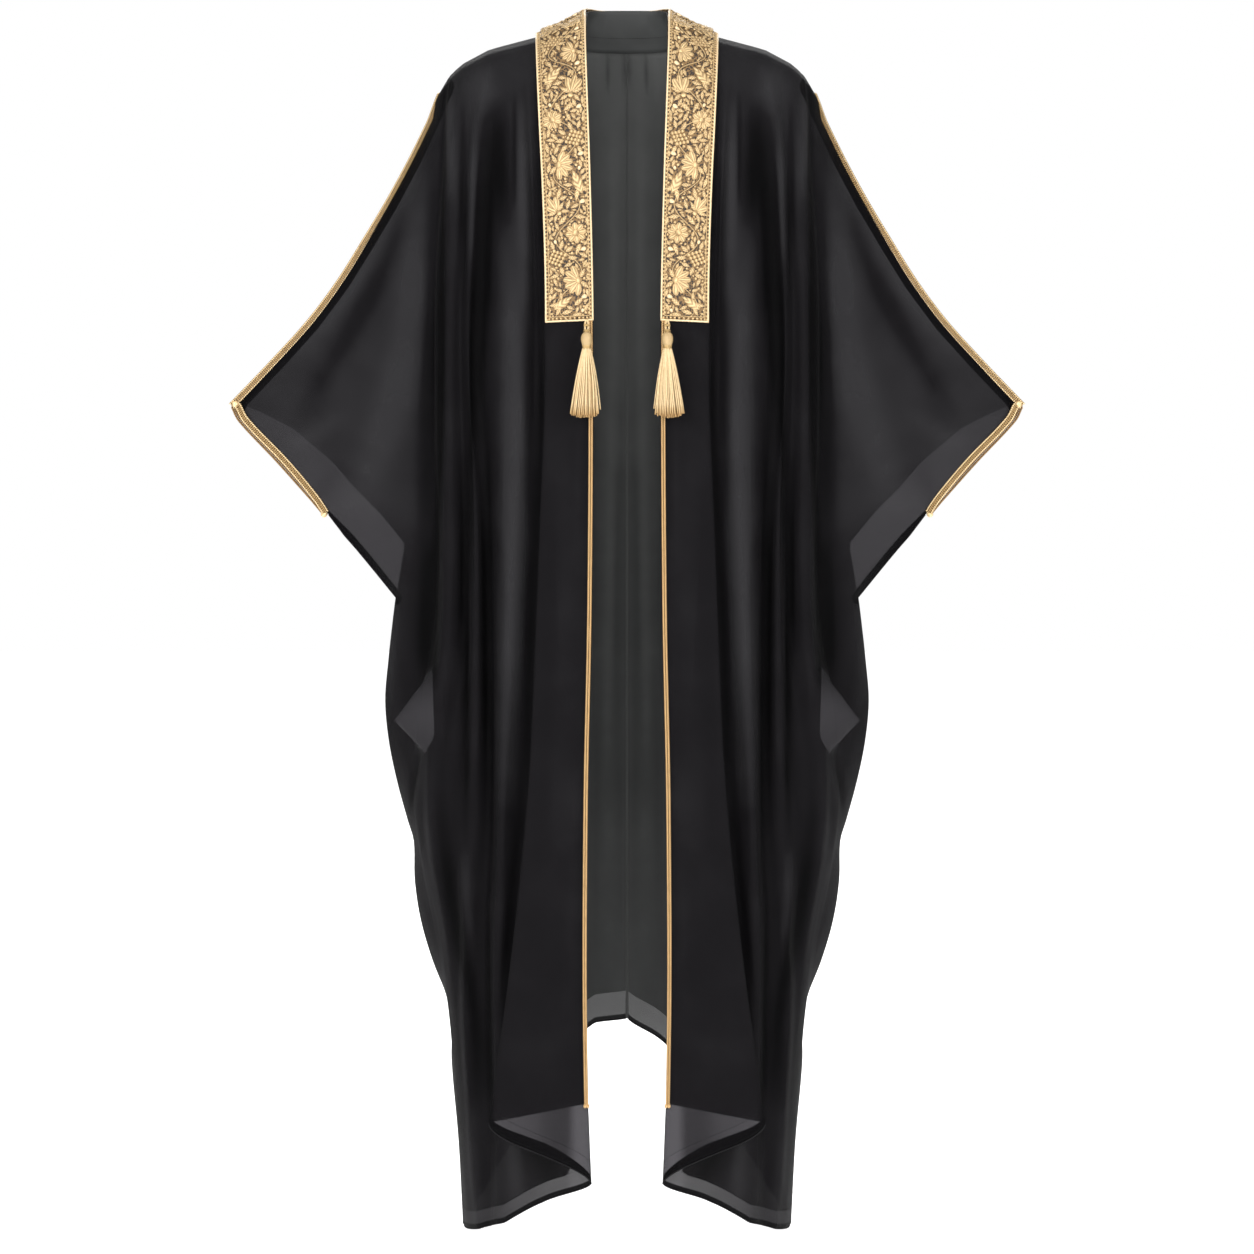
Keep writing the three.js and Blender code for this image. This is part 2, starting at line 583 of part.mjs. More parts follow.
function tasselStrand(angle, ring) {
  const levels = [
    { t: 0, z: TASSEL.headFoot + 2.5 },
    { t: 0.38, z: mix(TASSEL.headFoot, TASSEL.end, 0.3) },
    { t: 1, z: TASSEL.end },
  ];
  const out = new THREE.Vector3(Math.cos(angle), Math.sin(angle), 0);
  const along = new THREE.Vector3(-out.y, out.x, 0);
  const points = [];
  levels.forEach(({ t, z }) => {
    const r = mix(ring.neck, ring.hem, t);
    const w = mix(ring.root, ring.tip, t) / 2;
    const d = mix(0.8, 1.5, t) / 2;
    [[-w, -d], [w, -d], [w, d], [-w, d]].forEach(([a, b]) => {
      points.push(out.clone().multiplyScalar(r + b).addScaledVector(along, a).setZ(z));
    });
  });
  const faces = [[0, 1, 2], [0, 2, 3], [8, 10, 9], [8, 11, 10]];
  for (let k = 0; k < 2; k += 1) {
    for (let s = 0; s < 4; s += 1) {
      const t = (s + 1) % 4;
      faces.push([k * 4 + s, k * 4 + 4 + t, k * 4 + t], [k * 4 + s, k * 4 + 4 + s, k * 4 + 4 + t]);
    }
  }
  return closedSolid(points, faces);
}

function tassel(sign) {
  const head = turnedSolid(
    [
      { r: 2.2, z: TASSEL.headTop + 4 }, { r: 5.2, z: TASSEL.headTop }, { r: 7.4, z: TASSEL.headTop - 6 },
      { r: 6.0, z: TASSEL.headTop - 11.5 }, { r: 4.6, z: TASSEL.headFoot + 5.5 }, { r: 6.6, z: TASSEL.headFoot + 3.5 },
      { r: 6.8, z: TASSEL.headFoot },
    ],
    12
  );
  let whole = toManifold(head);
  const loop = [];
  const loopDirs = [];
  for (let k = 0; k < 12; k += 1) {
    const a = (2 * Math.PI * k) / 12;
    loop.push(new THREE.Vector3(3.4 * Math.cos(a), 0, TASSEL.headTop + 9 + 6.8 * Math.sin(a)));
    loopDirs.push(new THREE.Vector3(Math.cos(a), 0, Math.sin(a)));
  }
  whole = whole.add(toManifold(braidRod(loop, loopDirs, 2.2, 2.2, 6, true)));
  TASSEL_RINGS.forEach((ring, r) => {
    for (let k = 0; k < ring.strands; k += 1) {
      const angle = (2 * Math.PI * (k + 0.5 * (r % 2))) / ring.strands;
      whole = whole.add(toManifold(tasselStrand(angle, ring)));
    }
  });
  const geometry = fromManifold(whole);
  const place = geometry.attributes.position;
  for (let k = 0; k < place.count; k += 1) {
    const z = place.getZ(k);
    const flat = mix(1, TASSEL.flat, clamp((TASSEL.headFoot - z) / 30));
    const back = (TASSEL.hook - TASSEL.fore) * clamp((z - TASSEL.headTop - 1) / 12);
    place.setX(k, sign * (place.getX(k) + TASSEL.out));
    place.setY(k, place.getY(k) * flat + TASSEL.fore + back);
  }
  if (sign < 0) geometry.setIndex(Array.from(geometry.index.array).reverse());
  return geometry;
}

// ---- the parts, each with its own finish ----
const group = new THREE.Group();
group.name = "abaya";

function addPart(name, geometry, colour, roughness, metalness) {
  const material = new THREE.MeshStandardMaterial({ color: colour, roughness, metalness });
  const mesh = new THREE.Mesh(geometry, material);
  mesh.name = name;
  group.add(mesh);
}

const BLACK = 0x242326;
const GOLD = 0xc9a35c;
const SATIN = 0xd8be8c;
[
  { side: "left", sign: 1 },
  { side: "right", sign: -1 },
].forEach(({ side, sign }) => {
  const turn = (grid) => (sign > 0 ? grid : mirrored(grid));
  addPart(`front_panel_${side}`, wallBetween(turn(frontWall.outer), turn(frontWall.inner)), BLACK, 0.8, 0);
  const back = backPanel(sign > 0 ? 1 : 0);
  addPart(`back_panel_${side}`, wallBetween(turn(back.outer), turn(back.inner)), BLACK, 0.8, 0);
  addPart(`collar_band_${side}`, collarBand(sign), GOLD, 0.45, 0.7);
  addPart(`front_piping_${side}`, frontPiping(sign), GOLD, 0.45, 0.7);
  addPart(`sleeve_top_braid_${side}`, sleeveTopBraid(sign), GOLD, 0.45, 0.7);
  addPart(`cuff_braid_${side}`, cuffBraid(sign), GOLD, 0.45, 0.7);
  addPart(`tassel_${side}`, tassel(sign), SATIN, 0.55, 0.1);
});
addPart("neck_stand", wallBetween(standSide(1), standSide(-1)), BLACK, 0.8, 0);

export default group;
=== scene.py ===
# %% [markdown]
# # An open-front black abaya with a gold collar band
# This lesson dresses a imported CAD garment. The frame holds the plain walls of cloth and
# rods of braid, and each piece made here stands for one of them, in the same place. Sizes
# in the tables are millimetres, as a dressmaker would write them, and a mesh is made in metres.

import json
import math

import bpy
import numpy as np
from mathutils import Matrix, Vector

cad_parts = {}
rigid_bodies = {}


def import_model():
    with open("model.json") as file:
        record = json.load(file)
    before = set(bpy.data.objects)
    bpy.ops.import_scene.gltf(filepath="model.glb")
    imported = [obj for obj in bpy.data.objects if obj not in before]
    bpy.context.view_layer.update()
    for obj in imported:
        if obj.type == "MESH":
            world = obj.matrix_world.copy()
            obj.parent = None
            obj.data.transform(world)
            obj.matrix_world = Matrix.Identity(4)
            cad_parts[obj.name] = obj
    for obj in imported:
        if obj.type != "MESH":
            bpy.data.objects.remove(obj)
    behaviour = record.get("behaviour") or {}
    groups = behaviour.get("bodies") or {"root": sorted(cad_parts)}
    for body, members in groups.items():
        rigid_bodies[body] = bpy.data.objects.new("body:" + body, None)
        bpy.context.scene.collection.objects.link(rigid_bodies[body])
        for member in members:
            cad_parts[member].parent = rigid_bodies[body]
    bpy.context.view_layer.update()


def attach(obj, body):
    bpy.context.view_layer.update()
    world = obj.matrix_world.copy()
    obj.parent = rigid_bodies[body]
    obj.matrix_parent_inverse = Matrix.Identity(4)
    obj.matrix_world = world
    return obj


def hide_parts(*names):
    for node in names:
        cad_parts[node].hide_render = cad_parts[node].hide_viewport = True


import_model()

# %% [markdown]
# ## Where the camera stands
# The camera stands a few metres away, so that the sleeves and hem keep their true size
# beside the rest. The camera is a little above the middle of the garment and looks slightly down.

# %% Camera
AIM = Vector((0.0, 0.0, -0.7074))
CAMERA_AWAY = 4.2
CAMERA_RISE = math.radians(4.0)
FRAME_HIGH = 1.4985

camera_data = bpy.data.cameras.new("camera")
camera_data.sensor_width = 36.0
camera_data.lens = 36.0 * CAMERA_AWAY / FRAME_HIGH
camera = bpy.data.objects.new("camera", camera_data)
bpy.context.scene.collection.objects.link(camera)
camera.location = AIM + CAMERA_AWAY * Vector((0.0, -math.cos(CAMERA_RISE), math.sin(CAMERA_RISE)))
camera.rotation_euler = (math.pi / 2 - CAMERA_RISE, 0.0, 0.0)
bpy.context.scene.camera = camera
print("lens:", round(camera_data.lens, 1), "mm")

# %% [markdown]
# ## The cut of the cloth, as tables
# A worn robe is mostly vertical folds. Each hanging line below is one ridge or valley: how
# far it lies from the centre, how far forward, and where it meets the hem. A smooth curve
# through the lines gives one level of the garment, and the levels stack up to the panel.
# A cloth simulation could find such folds by itself, but the lines put each one where a
# dresser has laid it, so the folds are drawn here.

# %% Outline of one half
TIP, CUFF_END, UNDERARM, HEM_SIDE = -442.7, -573.0, -671.5, -1428.5
HAND_GAP = 11.0
NECK_HALF, NECK_DEEP = 105.0, 68.0
SHOULDER_ROUND = 165.0
BAND_END, PIPING_END = -344.5, -1257.0
SEAM_HALF = 0.15
CLOTH = 1.0

OUTLINE = np.array([
    (20, 47), (-9, 105), (-24, 162), (-43, 197), (-71, 219), (-106, 236), (-153, 259.5), (-200, 285.5),
    (-247, 314), (-295, 344.5), (-342, 380), (-389, 423), (TIP, 475), (-460, 466.5), (-508, 422),
    (-556, 378.5), (CUFF_END, 362.5), (-603, 332.5), (-627, 312), (UNDERARM, 276), (-699, 279.5),
    (-747, 285), (-795, 289), (-843, 285), (-891, 275.5), (-940, 262.5), (-964, 255.6), (-1012, 254.5),
    (-1060, 247.5), (-1109, 233.5), (-1157, 215), (-1182, 210.5), (-1231, 211), (-1328, 203), (HEM_SIDE, 198),
])
BRAID_COVER = np.array(
    [(-84, 0), (-106, 11.2), (-342, 13.4), (TIP, 13.6), (-556, 12.6), (CUFF_END, 11), (-600, 0)]
)
TUCKED_UNDER = np.array([(-84, 0), (-106, 5), (-342, 5.5), (TIP, 5), (-556, 5), (CUFF_END, 4), (-600, 0)])


def smooth_between(heights, values, z):
    """Smooth curve through values given at falling heights, level beyond both ends."""
    heights, values = np.asarray(heights, float), np.asarray(values, float)
    z = np.clip(np.asarray(z, float), heights[-1], heights[0])
    k = np.clip(np.searchsorted(-heights, -z, side="right") - 1, 0, len(heights) - 2)
    before = np.maximum(np.arange(len(heights)) - 1, 0)
    after = np.minimum(np.arange(len(heights)) + 1, len(heights) - 1)
    slope = (values[after] - values[before]) / (heights[after] - heights[before])
    span = heights[k + 1] - heights[k]
    t = (z - heights[k]) / span
    ends = values[k] * (2 * t**3 - 3 * t**2 + 1) + values[k + 1] * (3 * t**2 - 2 * t**3)
    return ends + slope[k] * span * (t**3 - 2 * t**2 + t) + slope[k + 1] * span * (t**3 - t**2)


CORNERS = [0] + [
    int(np.where(OUTLINE[:, 0] == corner)[0][0]) for corner in (TIP, CUFF_END, UNDERARM)
] + [len(OUTLINE) - 1]


def outline_out(z):
    """How far the outline lies from the centre: smooth, but for the corners of the cuff and underarm."""
    z = np.asarray(z, float)
    out = np.zeros_like(z)
    for a, b in zip(CORNERS[:-1], CORNERS[1:]):
        part = OUTLINE[a : b + 1]
        here = (z <= part[0, 0]) & (z >= part[-1, 0])
        out = np.where(here, smooth_between(part[:, 0], part[:, 1], z), out)
    return out


def read_table(table, z):
    return np.interp(-np.asarray(z, float), -table[:, 0], table[:, 1])


def shoulder_height(out):
    return np.interp(out, OUTLINE[:9, 1], OUTLINE[:9, 0])


def cuff_swell(z):
    share = np.clip((TIP - np.asarray(z, float)) / (TIP - CUFF_END), 0, 1)
    return np.sin(np.pi * share) ** 0.6


def seam_edge(z, facing):
    """Where braid meets cloth; the front of the hand opening is a little shorter than the back."""
    z = np.asarray(z, float)
    near_tip = np.clip(1 - np.abs(z - TIP) / 45, 0, 1) ** 2
    drop = np.minimum(9 * cuff_swell(z) + 5 * near_tip, 11.7)
    return outline_out(z) - read_table(BRAID_COVER, z) - (drop if facing < 0 else 0)


print("half width at the sleeve tip:", OUTLINE[CORNERS[1], 1], "mm")

# %% Hanging lines of the fronts and backs
HEIGHTS = np.array([-20, -340, -670, -900, -1135, -1400], float)
FRONT_DEPTH = [102, 117, 128, 134, 142, 152]
BACK_DEPTH = [98, 116, 128, 138, 152, 162]
FLAP_TOP, FLAP_POINT, FLAP_FOOT, FLAP_REACH = -749.0, -812.7, -849.0, 38.0

# name, out at HEIGHTS, share of the depth at HEIGHTS, height of the lower end, strips to the next line
FRONT_LINES = [
    ("opening edge", (47, 39, 40, 45, 46.5, 42), (1, 1, 1, 1, 1, 1), -1343, 3),
    ("pleat edge", (105, 94, 104, 116, 141, 182), (1, 0.99, 0.98, 0.97, 0.97, 0.95), -1277, 3),
    ("pleat root", (109, 100, 82, 64, 50, 42), (0.98, 0.93, 0.9, 0.87, 0.84, 0.81), -1350, 2),
    ("first valley", (117, 107, 115, 124, 118, 98), (0.96, 0.87, 0.82, 0.78, 0.73, 0.66), -1380, 2),
    ("first ridge", (130, 124, 138, 146, 152, 144), (1, 0.98, 0.96, 0.9, 0.8, 0.7), -1403, 2),
    ("second valley", (150, 172, 160, 162, 170, 163), (0.95, 0.74, 0.72, 0.68, 0.6, 0.54), -1413, 1),
    ("second ridge", (164, 184, 175, 184, 190, 176), (0.96, 0.79, 0.82, 0.76, 0.62, 0.5), -1418, 1),
    ("third valley", (178, 194, 189, 206, 199, 184), (0.86, 0.69, 0.62, 0.6, 0.48, 0.4), -1422, 1),
    ("third ridge", (192, 206, 208, 229, 206, 190), (0.82, 0.76, 0.72, 0.62, 0.4, 0.3), -1425, 1),
    ("sleeve crease edge", (204, 222, 222, 240, 212, 193), (0.66, 0.62, 0.58, 0.5, 0.3, 0.22), -1427, 2),
    ("sleeve crease root", (208, 228, 230, 252, 215.5, 195), (0.58, 0.34, 0.36, 0.34, 0.22, 0.15), -1428, 6),
]
BACK_LINES = [
    ("centre seam", (1, 1, 1, 1, 1, 1), (0.97, 0.96, 0.95, 0.94, 0.94, 0.94), -1206, 2),
    ("first ridge", (34, 36, 34, 38, 40, 40), (1, 1, 1, 1, 1, 1), -1213, 2),
    ("first valley", (68, 68, 66, 70, 70, 66), (0.99, 0.93, 0.91, 0.9, 0.9, 0.91), -1234, 2),
    ("second ridge", (105, 103, 98, 102, 98, 92), (1, 0.99, 0.99, 1, 0.98, 0.98), -1272, 2),
    ("second valley", (142, 140, 134, 140, 130, 120), (0.98, 0.86, 0.83, 0.84, 0.82, 0.82), -1325, 2),
    ("third ridge", (176, 178, 172, 178, 162, 150), (0.92, 0.88, 0.88, 0.86, 0.8, 0.78), -1372, 2),
    ("sleeve crease edge", (204, 218, 216, 222, 192, 176), (0.74, 0.66, 0.64, 0.64, 0.56, 0.52), -1408, 1),
    ("sleeve crease root", (209, 229, 232, 246, 207, 190), (0.58, 0.38, 0.4, 0.4, 0.3, 0.26), -1424, 5),
]
HEM_LEAN = {"first ridge": -20, "first valley": -24, "second ridge": -14}
TOP_SHARE, FOOT_SHARE = 0.3, 0.6
print(len(FRONT_LINES), "lines hang in a front,", len(BACK_LINES), "in a back")

# %% A panel's middle surface
def flap_reach(z):
    """How far the small side flap swings out over the side at a height."""
    if z > FLAP_TOP or z < FLAP_FOOT:
        return 0.0
    if z > FLAP_POINT:
        return FLAP_REACH * ((FLAP_TOP - z) / (FLAP_TOP - FLAP_POINT)) ** 1.15
    return FLAP_REACH * (z - FLAP_FOOT) / (FLAP_POINT - FLAP_FOOT)


def across_lines(points, counts):
    """A smooth curve through the points of one section, with counts[i] strips in each interval."""
    last = len(points) - 1
    section = []
    for i in range(last):
        a, b = points[i], points[i + 1]
        reach = 2 * np.abs(b - a)
        m0 = np.clip((b - points[max(0, i - 1)]) / 2, -reach, reach)
        m1 = np.clip((points[min(last, i + 2)] - a) / 2, -reach, reach)
        t = (np.arange(counts[i]) / counts[i])[:, None]
        share_a, share_b = 2 * t**3 - 3 * t**2 + 1, 3 * t**2 - 2 * t**3
        bend_a, bend_b = t**3 - 2 * t**2 + t, t**3 - t**2
        curve = a * share_a + m0 * bend_a + b * share_b + m1 * bend_b
        curve[:, 2] = (a + (b - a) * t)[:, 2]
        section.append(curve)
    section.append(points[last][None, :])
    return np.vstack(section)


def level_list(marks, spacing):
    """Heights from mark to mark, no further apart than the spacing."""
    levels = []
    for a, b in zip(marks[:-1], marks[1:]):
        parts = max(1, math.ceil((a - b) / spacing))
        levels.extend(a + (b - a) * np.arange(parts) / parts)
    return np.array(levels + [marks[-1]])


def hanging_surface(lines, levels, depths, facing, lean, finer):
    """Middle surface of a front (facing -1) or back (+1), out to the wearer's left side."""
    counts = [line[4] * finer for line in lines]
    top, foot = levels[0], levels[-1]
    grid = []
    for row in levels:
        v = (top - row) / (top - foot)
        points = []
        for name, out, fore, hem, _ in lines:
            on_neck = facing > 0 and out[0] < NECK_HALF
            line_top = -18 + 9 * (out[0] / NECK_HALF) ** 2 if on_neck else float(shoulder_height(out[0]))
            hem_at = hem + lean * HEM_LEAN.get(name, 0)
            near_top, near_foot = max(0, 1 - v / TOP_SHARE) ** 2, max(0, 1 - (1 - v) / FOOT_SHARE) ** 2
            z = row + (line_top - top) * near_top + (hem_at - foot) * near_foot
            x = float(smooth_between(HEIGHTS, out, z))
            full = float(smooth_between(HEIGHTS, depths, z) * smooth_between(HEIGHTS, fore, z))
            neck = NECK_DEEP * math.sqrt(max(0, 1 - (x / NECK_HALF) ** 2))
            start = 1 - math.sqrt(max(0, 1 - (neck / full) ** 2)) if on_neck else 0.0
            drop = min(1.0, max(0.0, start + (line_top - z) / SHOULDER_ROUND * (1 - start)))
            if name == "sleeve crease edge" and facing < 0:
                x += flap_reach(row)
            points.append((x, facing * full * math.sqrt(1 - (1 - drop) ** 2), z))
        gap = HAND_GAP * float(cuff_swell(row)) * (row < TIP)
        points.append((float(seam_edge(row, facing) + read_table(TUCKED_UNDER, row)), facing * gap, row))
        points = np.array(points)
        section = across_lines(points, counts)
        wing = counts[-1]
        root, edge = points[-2], points[-1]
        t = np.arange(1, wing) / wing
        flat = root + (edge - root) * t[:, None]
        sag = np.sin(np.pi * t) * 5 * min(1.0, max(0.0, (row + 1250) / 500))
        flat[:, 1] = root[1] + (edge[1] - root[1]) * t**0.85 + facing * sag
        section[-wing:-1] = flat
        grid.append(section)
    return np.array(grid)


def surface_normals(grid, facing):
    """Unit normals of a grid, pointing away from the wearer."""
    across = np.empty_like(grid)
    across[:, 1:-1] = grid[:, 2:] - grid[:, :-2]
    across[:, 0], across[:, -1] = grid[:, 1] - grid[:, 0], grid[:, -1] - grid[:, -2]
    down = np.empty_like(grid)
    down[1:-1] = grid[2:] - grid[:-2]
    down[0], down[-1] = grid[1] - grid[0], grid[-1] - grid[-2]
    normals = np.cross(across, down) * facing
    return normals / np.maximum(np.linalg.norm(normals, axis=2, keepdims=True), 1e-9)


BAND_LEVEL = -353
FRONT_MARKS = [
    -71, -86, -106, -135, -170, -210, -255, -303, BAND_LEVEL, -400, TIP, -505, CUFF_END, -622, UNDERARM, -712,
    FLAP_TOP, -781, FLAP_POINT, FLAP_FOOT, -900, -965, -1040, -1110, -1185, -1262, -1350, HEM_SIDE
]
BACK_MARKS = [
    -71, -90, -115, -150, -200, -255, -320, -389, TIP, -505, CUFF_END, -622, UNDERARM, -749, -820, -900,
    -965, -1055, -1157, -1231, -1328, HEM_SIDE
]
FRONT_FINER, BACK_FINER = 4, 5
front_levels = level_list(FRONT_MARKS, 9.0)
back_levels = level_list(BACK_MARKS, 9.5)
front_flat = hanging_surface(FRONT_LINES, front_levels, FRONT_DEPTH, -1, 0, FRONT_FINER)
back_flat = hanging_surface(BACK_LINES, back_levels, BACK_DEPTH, 1, 0, BACK_FINER)
back_flat_lean = hanging_surface(BACK_LINES, back_levels, BACK_DEPTH, 1, 1, BACK_FINER)
print("front grid", front_flat.shape[:2], "back grid", back_flat.shape[:2])

# %% [markdown]
# ## Smaller creases, laid one by one
# Between the main folds the cloth breaks into soft troughs and ridges that start and die
# out. Each row of the table is one crease as seen from the front: the path it follows, its
# half width, its height (below zero for a trough), and how much painted highlight (above
# zero) or painted shade (below zero) is laid along it. No two are alike, as in real cloth.

# %% Crease tables and how they press the cloth
# path (out, height), half width, height of the crease, painted highlight (+) or painted shade (-) along it
FRONT_CREASES = [
    ([(213, -80), (216, -240), (219, -470), (225, -620), (227, -770)], 4.5, -4.5, -1.6),
    ([(207, -72), (205, -130), (203, -200)], 5, 2.6, 0.9),
    ([(191, -90), (190, -190), (191, -320)], 3.2, -3.0, -0.9),
    ([(191, -500), (190, -740), (188, -960)], 4.5, -3.6, -1.4),
    ([(176, -105), (178, -180), (181, -280)], 3.5, 2.6, 0.8),
    ([(177, -560), (176, -700), (175, -930)], 3.5, 1.6, 0.1),
    ([(158, -95), (163, -190), (168, -290), (175, -400), (178, -500)], 10, -5.0, -1.7),
    ([(164, -430), (163, -700), (160, -1010)], 6.5, -4.5, -1.2),
    ([(183, -420), (182, -540), (182, -660)], 4, -2.4, -0.7),
    ([(136, -225), (136, -330), (131, -560), (133, -690), (140, -900)], 12, 4.0, 1.25),
    ([(122, -95), (120, -230), (119, -330)], 8, 2.6, 0.8),
    ([(130, -85), (130, -150), (130, -215)], 3, -2.4, -0.9),
    ([(126, -290), (129, -450), (134, -640)], 10, 1.5, 0.6),
    ([(104, -50), (100, -200), (96, -340)], 4, -1.2, -0.9),
    ([(96, -330), (102, -500), (110, -670), (122, -900), (148, -1140)], 4.5, -1.5, -1.1),
    ([(74, -420), (72, -640), (80, -980)], 10, 1.2, 0.14),
    ([(92, -520), (96, -760), (108, -1100)], 8, -1.2, -0.12),
    ([(56, -400), (57, -500), (58, -640)], 4, 0.9, 0.16),
    ([(60, -760), (64, -960), (72, -1230)], 7, 1.0, 0.12),
    ([(262, -205), (286, -275), (318, -335), (352, -395), (388, -458)], 14, -3.6, -0.75),
    ([(236, -190), (246, -300), (262, -400), (292, -490), (318, -560)], 21, 4.6, 1.0),
    ([(252, -150), (300, -252), (350, -330), (412, -402)], 12, 1.6, 0.75),
    ([(226, -170), (231, -380), (238, -600)], 9, -2.4, -1.0),
    ([(330, -450), (372, -478), (410, -496)], 10, 2.0, 0.35),
    ([(345, -520), (362, -545), (372, -560)], 12, -1.6, -0.6),
    ([(278, -660), (284, -730), (286, -800)], 12, 2.0, 0.7),
    ([(233, -600), (234, -690), (238, -770)], 13, -3.6, -1.8),
    ([(244, -850), (252, -885), (258, -930)], 4, -2.4, -0.9),
    ([(228, -860), (232, -950), (230, -1040)], 7, 1.6, 0.3),
    ([(262, -900), (240, -1040), (204, -1160), (199, -1230), (194, -1350)], 9, 1.8, 0.05),
    ([(220, -900), (206, -1034), (180, -1150), (174, -1250)], 10, -2.8, -1.2),
    ([(164, -1000), (163, -1150), (161, -1240), (156, -1330)], 5, -2.6, -1.0),
    ([(190, -960), (187, -1040), (180, -1090)], 5, 1.6, 0.5),
    ([(140, -1270), (132, -1330), (128, -1390)], 10, 2.4, 0.7),
    ([(205, -1150), (202, -1280), (195, -1400)], 10, 0.0, -1.3),
    ([(147, -100), (146, -150), (144, -240)], 10, -1.6, -1.3),
    ([(172, -45), (170, -75), (167, -110)], 16, 0.8, 0.7),
    ([(112, -1290), (96, -1330), (84, -1360)], 16, -1.6, -1.2),
    ([(186, -1270), (184, -1340), (176, -1405)], 9, 2.0, 0.5),
]
BACK_CREASES = [
    ([(11, -20), (12, -60)], 2.6, 1.8, 0.3),
    ([(22, -20), (24, -66)], 2.4, -1.8, -0.9),
    ([(34, -20), (36, -80)], 2.6, 1.6, 0.3),
    ([(3, -20), (4, -62)], 2.2, -1.6, -0.8),
    ([(14, -60), (16, -240), (13, -520)], 7, 1.8, 0.35),
    ([(50, -70), (52, -300), (46, -700)], 8, -2.6, -0.45),
    ([(24, -300), (20, -560), (26, -900)], 7, 1.8, 0.4),
    ([(6, -420), (9, -700), (6, -1120)], 7, -1.6, -0.4),
    ([(36, -760), (38, -960), (40, -1150)], 7, -1.6, -0.35),
    ([(84, -80), (84, -260), (80, -560)], 7, 2.2, 0.5),
    ([(58, -640), (54, -860), (58, -1180)], 7, 2.2, 0.5),
    ([(120, -90), (124, -330), (116, -620)], 8, -2.8, -0.8),
    ([(88, -660), (84, -900), (84, -1240)], 8, -2.4, -0.8),
    ([(158, -110), (160, -320), (150, -560)], 8, 2.6, 0.8),
    ([(112, -740), (116, -960), (108, -1280)], 7, 2.4, 0.7),
    ([(190, -120), (196, -330), (204, -600)], 8, -3.0, -1.0),
    ([(150, -780), (156, -980), (146, -1300)], 8, -2.6, -0.9),
    ([(190, -700), (194, -900), (176, -1180)], 7, 2.6, 0.8),
    ([(248, -200), (256, -430), (262, -660)], 14, 4.2, 0.9),
    ([(290, -270), (304, -420), (300, -560)], 13, -3.6, -0.8),
    ([(340, -350), (352, -440), (350, -530)], 13, 3.2, 0.6),
    ([(240, -140), (310, -310), (410, -450)], 14, -2.4, -0.6),
    ([(250, -650), (256, -780), (258, -900)], 8, 2.6, 0.8),
    ([(222, -860), (216, -1010), (200, -1200)], 7, -2.4, -0.9),
]


def pressed(grid, facing, creases, keep):
    """The surface with each crease pressed in along its normal, and the painted highlight (+) or painted
    shade (-) at each point.

    keep is 0 where nothing may move.
    """
    normals = surface_normals(grid, facing)
    lift, fold_light_tone = np.zeros(grid.shape[:2]), np.zeros(grid.shape[:2])
    flat = grid[:, :, [0, 2]]
    for path, half, height, painted_light in creases:
        path = np.array(path, float)
        lengths = np.r_[0, np.cumsum(np.linalg.norm(np.diff(path, axis=0), axis=1))]
        steps = max(24, math.ceil(lengths[-1] / (0.6 * half)))
        fine = np.linspace(0, lengths[-1], steps)
        line = np.c_[smooth_between(-lengths, path[:, 0], -fine), smooth_between(-lengths, path[:, 1], -fine)]
        low, high = line.min(axis=0) - 3 * half, line.max(axis=0) + 3 * half
        close = ((flat > low) & (flat < high)).all(axis=2)
        apart = np.linalg.norm(flat[close][:, None] - line[None], axis=2)
        share = apart.argmin(axis=1) / (steps - 1)
        near = np.exp(-((apart.min(axis=1) / half) ** 2)) * np.sin(np.pi * (0.04 + 0.92 * share)) ** 0.8
        lift[close] += height * near
        # The crease's painted highlight or painted shade fades out in the same way as its lift.
        fold_light_tone[close] += painted_light * near
    return grid + normals * (lift * keep)[:, :, None], fold_light_tone


def edge_keep(grid, first_cols, fade_cols, last_cols):
    """1 where a crease may press fully, and 0 along the edges that other pieces are sewn to."""
    rows, cols = grid.shape[:2]
    i = np.arange(cols)[None, :]
    j = np.arange(rows)[:, None]
    near_opening = np.clip((i - first_cols) / fade_cols, 0, 1) if fade_cols else np.ones_like(i, float)
    near_side = np.clip((cols - 1 - i) / last_cols, 0, 1)
    near_top = np.clip(j / 3, 0, 1)
    return near_opening * near_side * near_top


band_cols = 3 * FRONT_FINER
front_keep = edge_keep(front_flat, first_cols=3, fade_cols=2, last_cols=5)
near_band = np.arange(front_flat.shape[1]) <= band_cols + 1
under_band = (front_levels > BAND_END - 60)[:, None] & near_band[None, :]
front_keep = np.where(under_band & (front_flat[:, :, 2] > BAND_END - 8), 0, front_keep)
front_grid, front_painted_fold_light = pressed(front_flat, -1, FRONT_CREASES, front_keep)
back_keep = edge_keep(back_flat, first_cols=0, fade_cols=1, last_cols=5)
back_grid, back_painted_fold_light = pressed(back_flat, 1, BACK_CREASES, back_keep)
back_grid_lean, back_painted_fold_light_lean = pressed(back_flat_lean, 1, BACK_CREASES, back_keep)
print(len(FRONT_CREASES), "creases in a front,", len(BACK_CREASES), "in a back")

# %% Closed walls of cloth
def joined_flat(grid, levels, facing):
    """Edges that are sewn together stop a hair short of the seam plane."""
    normals = surface_normals(grid, facing)
    closed = np.zeros(grid.shape[:2], bool)
    closed[:, -1] = ~((levels < TIP - 1) & (levels > CUFF_END + 1))
    if facing < 0:
        closed[0] = True
    else:
        closed[0] |= grid[0, :, 0] >= NECK_HALF - 0.01
    half = CLOTH / 2 * np.abs(normals[:, :, 1]) - SEAM_HALF
    grid = grid.copy()
    grid[:, :, 1] = np.where(closed, facing * half, grid[:, :, 1])
    return grid, normals


